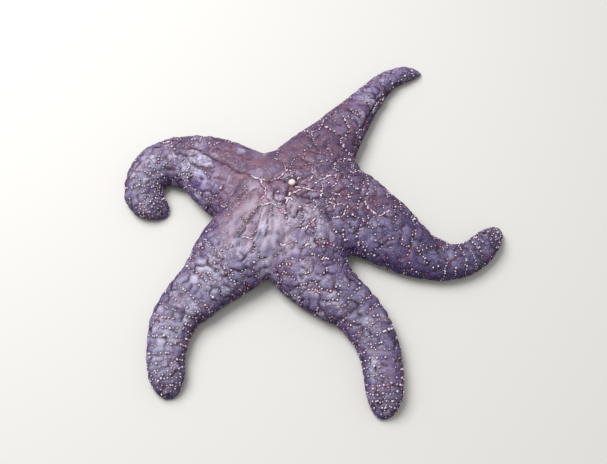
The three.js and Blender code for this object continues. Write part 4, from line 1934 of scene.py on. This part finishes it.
    def gills_and_fold_shade(self) -> Crop:
        """Dark grains along the deeper folds: partly the soft skin gills, partly painted shade darkening the
        folds.

        Returns:
            The crop.
        """
        deep = [strand for strand in self.net.strands if strand.depth > self.gill_shade_depth]
        folds = [strand for strand in deep if strand.line is CREASE]
        points = np.concatenate([self.along(strand, self.gill_shade_gap, 0.1 * MM) for strand in folds])
        calm = self.relief.masks["calm"][nearest(self.vertices, points)[0]]
        points = points[self.rng.random(len(points)) > 1.5 * calm][:self.gill_shade_limit]
        radius = self.rng.uniform(*self.gill_shade_radii, len(points)) * MM
        return self.crop(points, radius, radius * 0.8 + self.sunk, self.rng.random(len(points)))

    def furrow_frame(self, arm: int, gap: float) -> tuple[Array, Array, Array]:
        """Even stations along an arm's furrow.

        Args:
            arm: the arm's index.
            gap: the distance to the next station.

        Returns:
            Places in plan, ways to the left, and shares of the arm's length.
        """
        line, even = self.net.skin.plan.courses[arm]
        run = np.arange(self.mouth_radius + 1 * MM, self.net.skin.furrow_end * even[-1], gap)
        ahead = unit(np.gradient(line, axis=0))
        return sampled(line, even, run), leftward(sampled(ahead, even, run)), run / even[-1]

    def feet(self) -> Crop:
        """Four rows of tube feet in each furrow, reaching down to just above the floor.

        Returns:
            The crop.
        """
        spots, length = [], []
        for arm in range(len(ARMS)):
            middle, left, share = self.furrow_frame(arm, self.foot_gap)
            narrow = 1 - 0.5 * share
            for row, across in enumerate(self.foot_rows):
                shift = (across * MM * narrow + self.rng.normal(0, 0.2 * MM, len(share)))[:, None]
                step = 0.5 * self.foot_gap * (row % 2)
                spots.append(middle + left * shift + step * np.c_[left[:, 1], -left[:, 0]])
                length.append(1 - 0.4 * share)
        points = np.concatenate(spots)
        roofs = [self.lookup.ray_cast(Vector((x, y, 0.0001)), Vector((0, 0, 1)))[0] for x, y in points]
        found = np.array([roof is not None and roof[2] > 1.2 * MM for roof in roofs])
        points = np.array([tuple(roof) for roof, good in zip(roofs, found) if good])
        length = np.concatenate(length)[found]
        lean = np.c_[self.rng.normal(0, 0.16, (len(points), 2)), np.zeros(len(points))]
        radius = self.foot_radius * length * self.rng.uniform(0.85, 1.1, len(points))
        down = np.tile((0.0, 0.0, -1.0), (len(points), 1))
        height = np.full(len(points), self.foot_height)
        return self.crop(points, radius, height, self.rng.random(len(points)), lean, down)

    def needles(self) -> Crop:
        """The slender guard spines along both edges of each furrow and round the mouth.

        Returns:
            The crop.
        """
        spots, facing, sizes = [], [], []
        for arm in range(len(ARMS)):
            middle, left, share = self.furrow_frame(arm, self.needle_gap)
            for side in (-1, 1):
                for away, size in ((0.4, 1.0), (1.7, 0.85)):
                    across = side * (5.4 * (1 - 0.5 * share) + away) * MM
                    spots.append(np.c_[middle + left * across[:, None], np.full(len(middle), 0.2 * MM)])
                    facing.append(np.c_[-side * left * 0.9, np.full(len(left), -0.25)])
                    sizes.append(size * (1 - 0.45 * share))
        turn = np.radians(np.arange(0, 360, 9))
        rim = np.stack([np.cos(turn), np.sin(turn)], 1)
        spots.append(np.c_[self.net.skin.plan.centre + rim * (self.mouth_radius + 1.2 * MM),
                           np.full(len(turn), 0.4 * MM)])
        facing.append(np.c_[-rim, np.full(len(turn), -0.15)])
        sizes.append(np.full(len(turn), 1.5))
        size, facing = np.concatenate(sizes), np.concatenate(facing)
        size = size * self.rng.uniform(0.8, 1.15, len(size))
        return self.crop(np.concatenate(spots), self.needle_radius * np.sqrt(size), self.needle_height * size,
                         self.rng.random(len(size)), self.rng.normal(0, 0.12, (len(size), 3)), facing)

    def eyes(self) -> Crop:
        """The red eyespot under the end of each arm.

        Returns:
            The crop.
        """
        plan, below = self.net.skin.plan, np.array([0.55 * np.pi])
        ends = [plan.section_point(arm, even[-1:], below)[0] for arm, (_, even) in enumerate(plan.courses)]
        size = np.full(len(ends), self.eye_size)
        return self.crop(np.array(ends), 0.5 * size, size, np.zeros(len(ends)))

    def build(self, spines: Crop) -> None:
        """Plants every piece of the coat, some in two parts, so that none is too large.

        Args:
            spines: the crop of spines.
        """
        for name, growth, finish, crop, parts in (
            ("spines", Growth.SPINE, SPINE_FINISH, spines, 2),
            ("grains", Growth.GRAIN, GRAIN_FINISH, self.grains(), 2),
            # dark grains along the deeper folds: partly skin gills, partly painted shade
            ("skin_gills", Growth.GRAIN, GILL_AND_SHADE_FINISH, self.gills_and_fold_shade(), 1),
            ("tube_feet", Growth.FOOT, FOOT_FINISH, self.feet(), 1),
            ("guard_spines", Growth.NEEDLE, NEEDLE_FINISH, self.needles(), 1),
            ("eyespots", Growth.SPINE, EYE_FINISH, self.eyes(), 1),
        ):
            planter = Planter(growth, finish.make())
            for part in range(parts):
                label = f"{name}_{part + 1}" if parts > 1 else name
                settle(planter.plant(label, crop.part(np.arange(part, len(crop.points), parts))), "arm_skin")


@dataclass
class SievePlate:
    """The madreporite: a small chalky dome, scored all over with winding grooves."""

    rings: int = 26
    sectors: int = 80
    rise: float = 0.8 * MM
    exposed: float = 0.95
    half_chart: float = 0.49
    wave: float = 0.5 * MM
    groove: float = 0.1 * MM
    waves: int = 9
    bone: Colour = srgb(255, 251, 240)
    shade: Colour = srgb(244, 222, 206)
    rim: Colour = srgb(204, 158, 142)

    def build(self) -> bpy.types.Object:
        """Makes the plate that stands for its solid.

        Returns:
            The piece.
        """
        low, high = (np.array(corner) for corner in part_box("madreporite"))
        middle, radius = (low + high) / 2, (high - low)[:2].mean() / 2 * self.exposed
        share = np.linspace(0, 1, self.rings + 1)[1:]
        turn = np.linspace(0, 2 * np.pi, self.sectors, endpoint=False)
        plan = np.stack([np.outer(share, np.cos(turn)), np.outer(share, np.sin(turn))], -1).reshape(-1, 2)
        plan = np.vstack([plan * radius, [[0, 0]]])
        out = lengths(plan) / radius
        rng = np.random.default_rng(5)
        way, phase = rng.uniform(0, np.pi, self.waves), rng.uniform(0, 2 * np.pi, self.waves)
        ripple = np.cos(plan @ np.stack([np.cos(way), np.sin(way)]) * 2 * np.pi / self.wave + phase).sum(1)
        carved = np.tanh(1.6 * ripple) * eased(1.0, 0.86, out)
        level = high[2] - self.rise * 1.6 * out**2.6 + self.groove * (carved - 1)
        points = np.c_[plan + middle[:2], level]
        at = np.arange(self.rings * self.sectors).reshape(self.rings, self.sectors)
        beside = np.roll(at, -1, axis=1)
        quads = np.stack([at[:-1], at[1:], beside[1:], beside[:-1]], -1).reshape(-1, 4).tolist()
        fan = [(int(a), int(b), len(points) - 1) for a, b in zip(at[0], beside[0])]
        mesh = bpy.data.meshes.new("sieve_plate")
        mesh.from_pydata(points.tolist(), [], quads + fan)
        shade_smooth(mesh)
        put_attribute(mesh, "carved", carved)
        put_attribute(mesh, "out", out)
        put_map(mesh, 0.5 + self.half_chart * plan[corner_points(mesh)] / radius)
        material, tree = new_material("chalky sieve plate")
        colour = tree.blend(tree.ramp(tree.attribute("carved"), -0.9, 0.7), self.shade, self.bone)
        colour = tree.blend(tree.ramp(tree.attribute("out"), 0.76, 1.0), colour, self.rim)
        finish_with(tree, colour, 0.55)
        mesh.materials.append(material)
        return settle(new_object("sieve_plate", mesh), "sieve_plate", "madreporite")


# ---------------------------------------------------------------- the stage
@dataclass(frozen=True)
class Stage:
    """A plain pale floor, soft studio light, and the camera."""

    floor_side: float = 6.0
    floor_colour: Colour = srgb(228, 226, 222)
    floor_bounce: Colour = srgb(120, 118, 116)
    look_offset: tuple[float, float] = (16.05 * MM, -13.37 * MM)
    distance: float = 0.52
    elevation: float = 60.0
    view_angle: float = 42.0
    world_strength: float = 0.45
    key_power: float = 11.5
    key_side: float = 0.7
    key_offset: tuple[float, float, float] = (-0.45, 0.35, 0.95)

    def build(self, plan: BodyPlan) -> None:
        """Makes the floor, the lights and the camera.

        Args:
            plan: the star's plan.
        """
        self.floor()
        self.lights(plan)
        self.camera(plan)

    def floor(self) -> None:
        """Lays the floor."""
        half = self.floor_side / 2
        corners = [(-half, -half, 0), (half, -half, 0), (half, half, 0), (-half, half, 0)]
        mesh = bpy.data.meshes.new("floor")
        mesh.from_pydata(corners, [], [(0, 1, 2, 3)])
        material, tree = new_material("pale floor")
        seen = tree.out("ShaderNodeLightPath", socket="Is Camera Ray")
        finish_with(tree, tree.blend(seen, self.floor_bounce, self.floor_colour), 0.9)
        mesh.materials.append(material)
        new_object("floor", mesh)

    def lights(self, plan: BodyPlan) -> None:
        """Sets an even pale sky and one large soft lamp.

        Args:
            plan: the star's plan.
        """
        scene = bpy.context.scene
        scene.world = bpy.data.worlds.new("studio")
        scene.world.use_nodes = True
        tree = Tree(scene.world.node_tree)
        sky = tree.out("ShaderNodeBackground", {"Color": (1, 1, 1, 1), "Strength": self.world_strength})
        tree.add("ShaderNodeOutputWorld", {"Surface": sky})
        lamp = bpy.data.lights.new("key", "AREA")
        lamp.shape, lamp.size, lamp.size_y = "RECTANGLE", self.key_side, self.key_side
        lamp.energy = self.key_power
        aim = Vector((*plan.centre, 0))
        self.stand("key", lamp, aim + Vector(self.key_offset), aim)
        scene.view_settings.view_transform = "Standard"

    def camera(self, plan: BodyPlan) -> None:
        """Stands the camera in front, looking down at the star.

        Args:
            plan: the star's plan.
        """
        data = bpy.data.cameras.new("camera")
        data.angle = math.radians(self.view_angle)
        data.clip_start = 0.01
        aim = Vector((plan.centre[0] + self.look_offset[0], plan.centre[1] + self.look_offset[1], 0))
        tilt = math.radians(self.elevation)
        away = self.distance * Vector((0, -math.cos(tilt), math.sin(tilt)))
        bpy.context.scene.camera = self.stand("camera", data, aim + away, aim)

    @staticmethod
    def stand(name: str, data: bpy.types.ID, place: Vector, aim: Vector) -> bpy.types.Object:
        """Stands a lamp or a camera at a place, turned to what it aims at.

        Args:
            name: the object's name.
            data: the lamp or the camera.
            place: where it stands.
            aim: the place that it is turned to.

        Returns:
            The object.
        """
        made = bpy.data.objects.new(name, data)
        bpy.context.scene.collection.objects.link(made)
        made.location = place
        made.rotation_euler = (aim - made.location).to_track_quat("-Z", "Y").to_euler()
        return made


def main(nodes: dict[str, bpy.types.Object]) -> None:
    """Builds the star and its stage.

    Args:
        nodes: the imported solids.
    """
    logging.basicConfig(level=logging.INFO, format="%(relativeCreated)6d %(message)s")
    plan = BodyPlan()
    Stage().build(plan)
    skin = Skin(plan, nodes)
    skin.grow()
    log.info("skin: %d quads", len(skin.base.quads))
    net = Net(skin, np.random.default_rng(7))
    net.draw()
    relief = Relief(skin, net)
    relief.shape()
    unwrap = Unwrap(plan)
    coat = Coat(relief, net, unwrap, np.random.default_rng(11))
    spines = coat.spines()
    # Painted shadow: the skin round the larger spines is darkened, over their dark ground.
    relief.masks["ring"] = coat.rings(spines)
    mesh = bpy.data.meshes.new("skin")
    mesh.from_pydata(relief.surface.points.tolist(), [], relief.surface.quads.tolist())
    shade_smooth(mesh)
    unwrap.wrap(mesh, relief.surface)
    for name, values in relief.masks.items():
        put_attribute(mesh, name, values)
    put_attribute(mesh, "polar", net.polar)
    mesh.materials.append(SkinFinish().make())
    settle(new_object("skin", mesh), "arm_skin", *skin.flesh())
    coat.build(spines)
    SievePlate().build()


if __name__ == "__main__":
    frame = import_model()
    main(frame["nodes"])
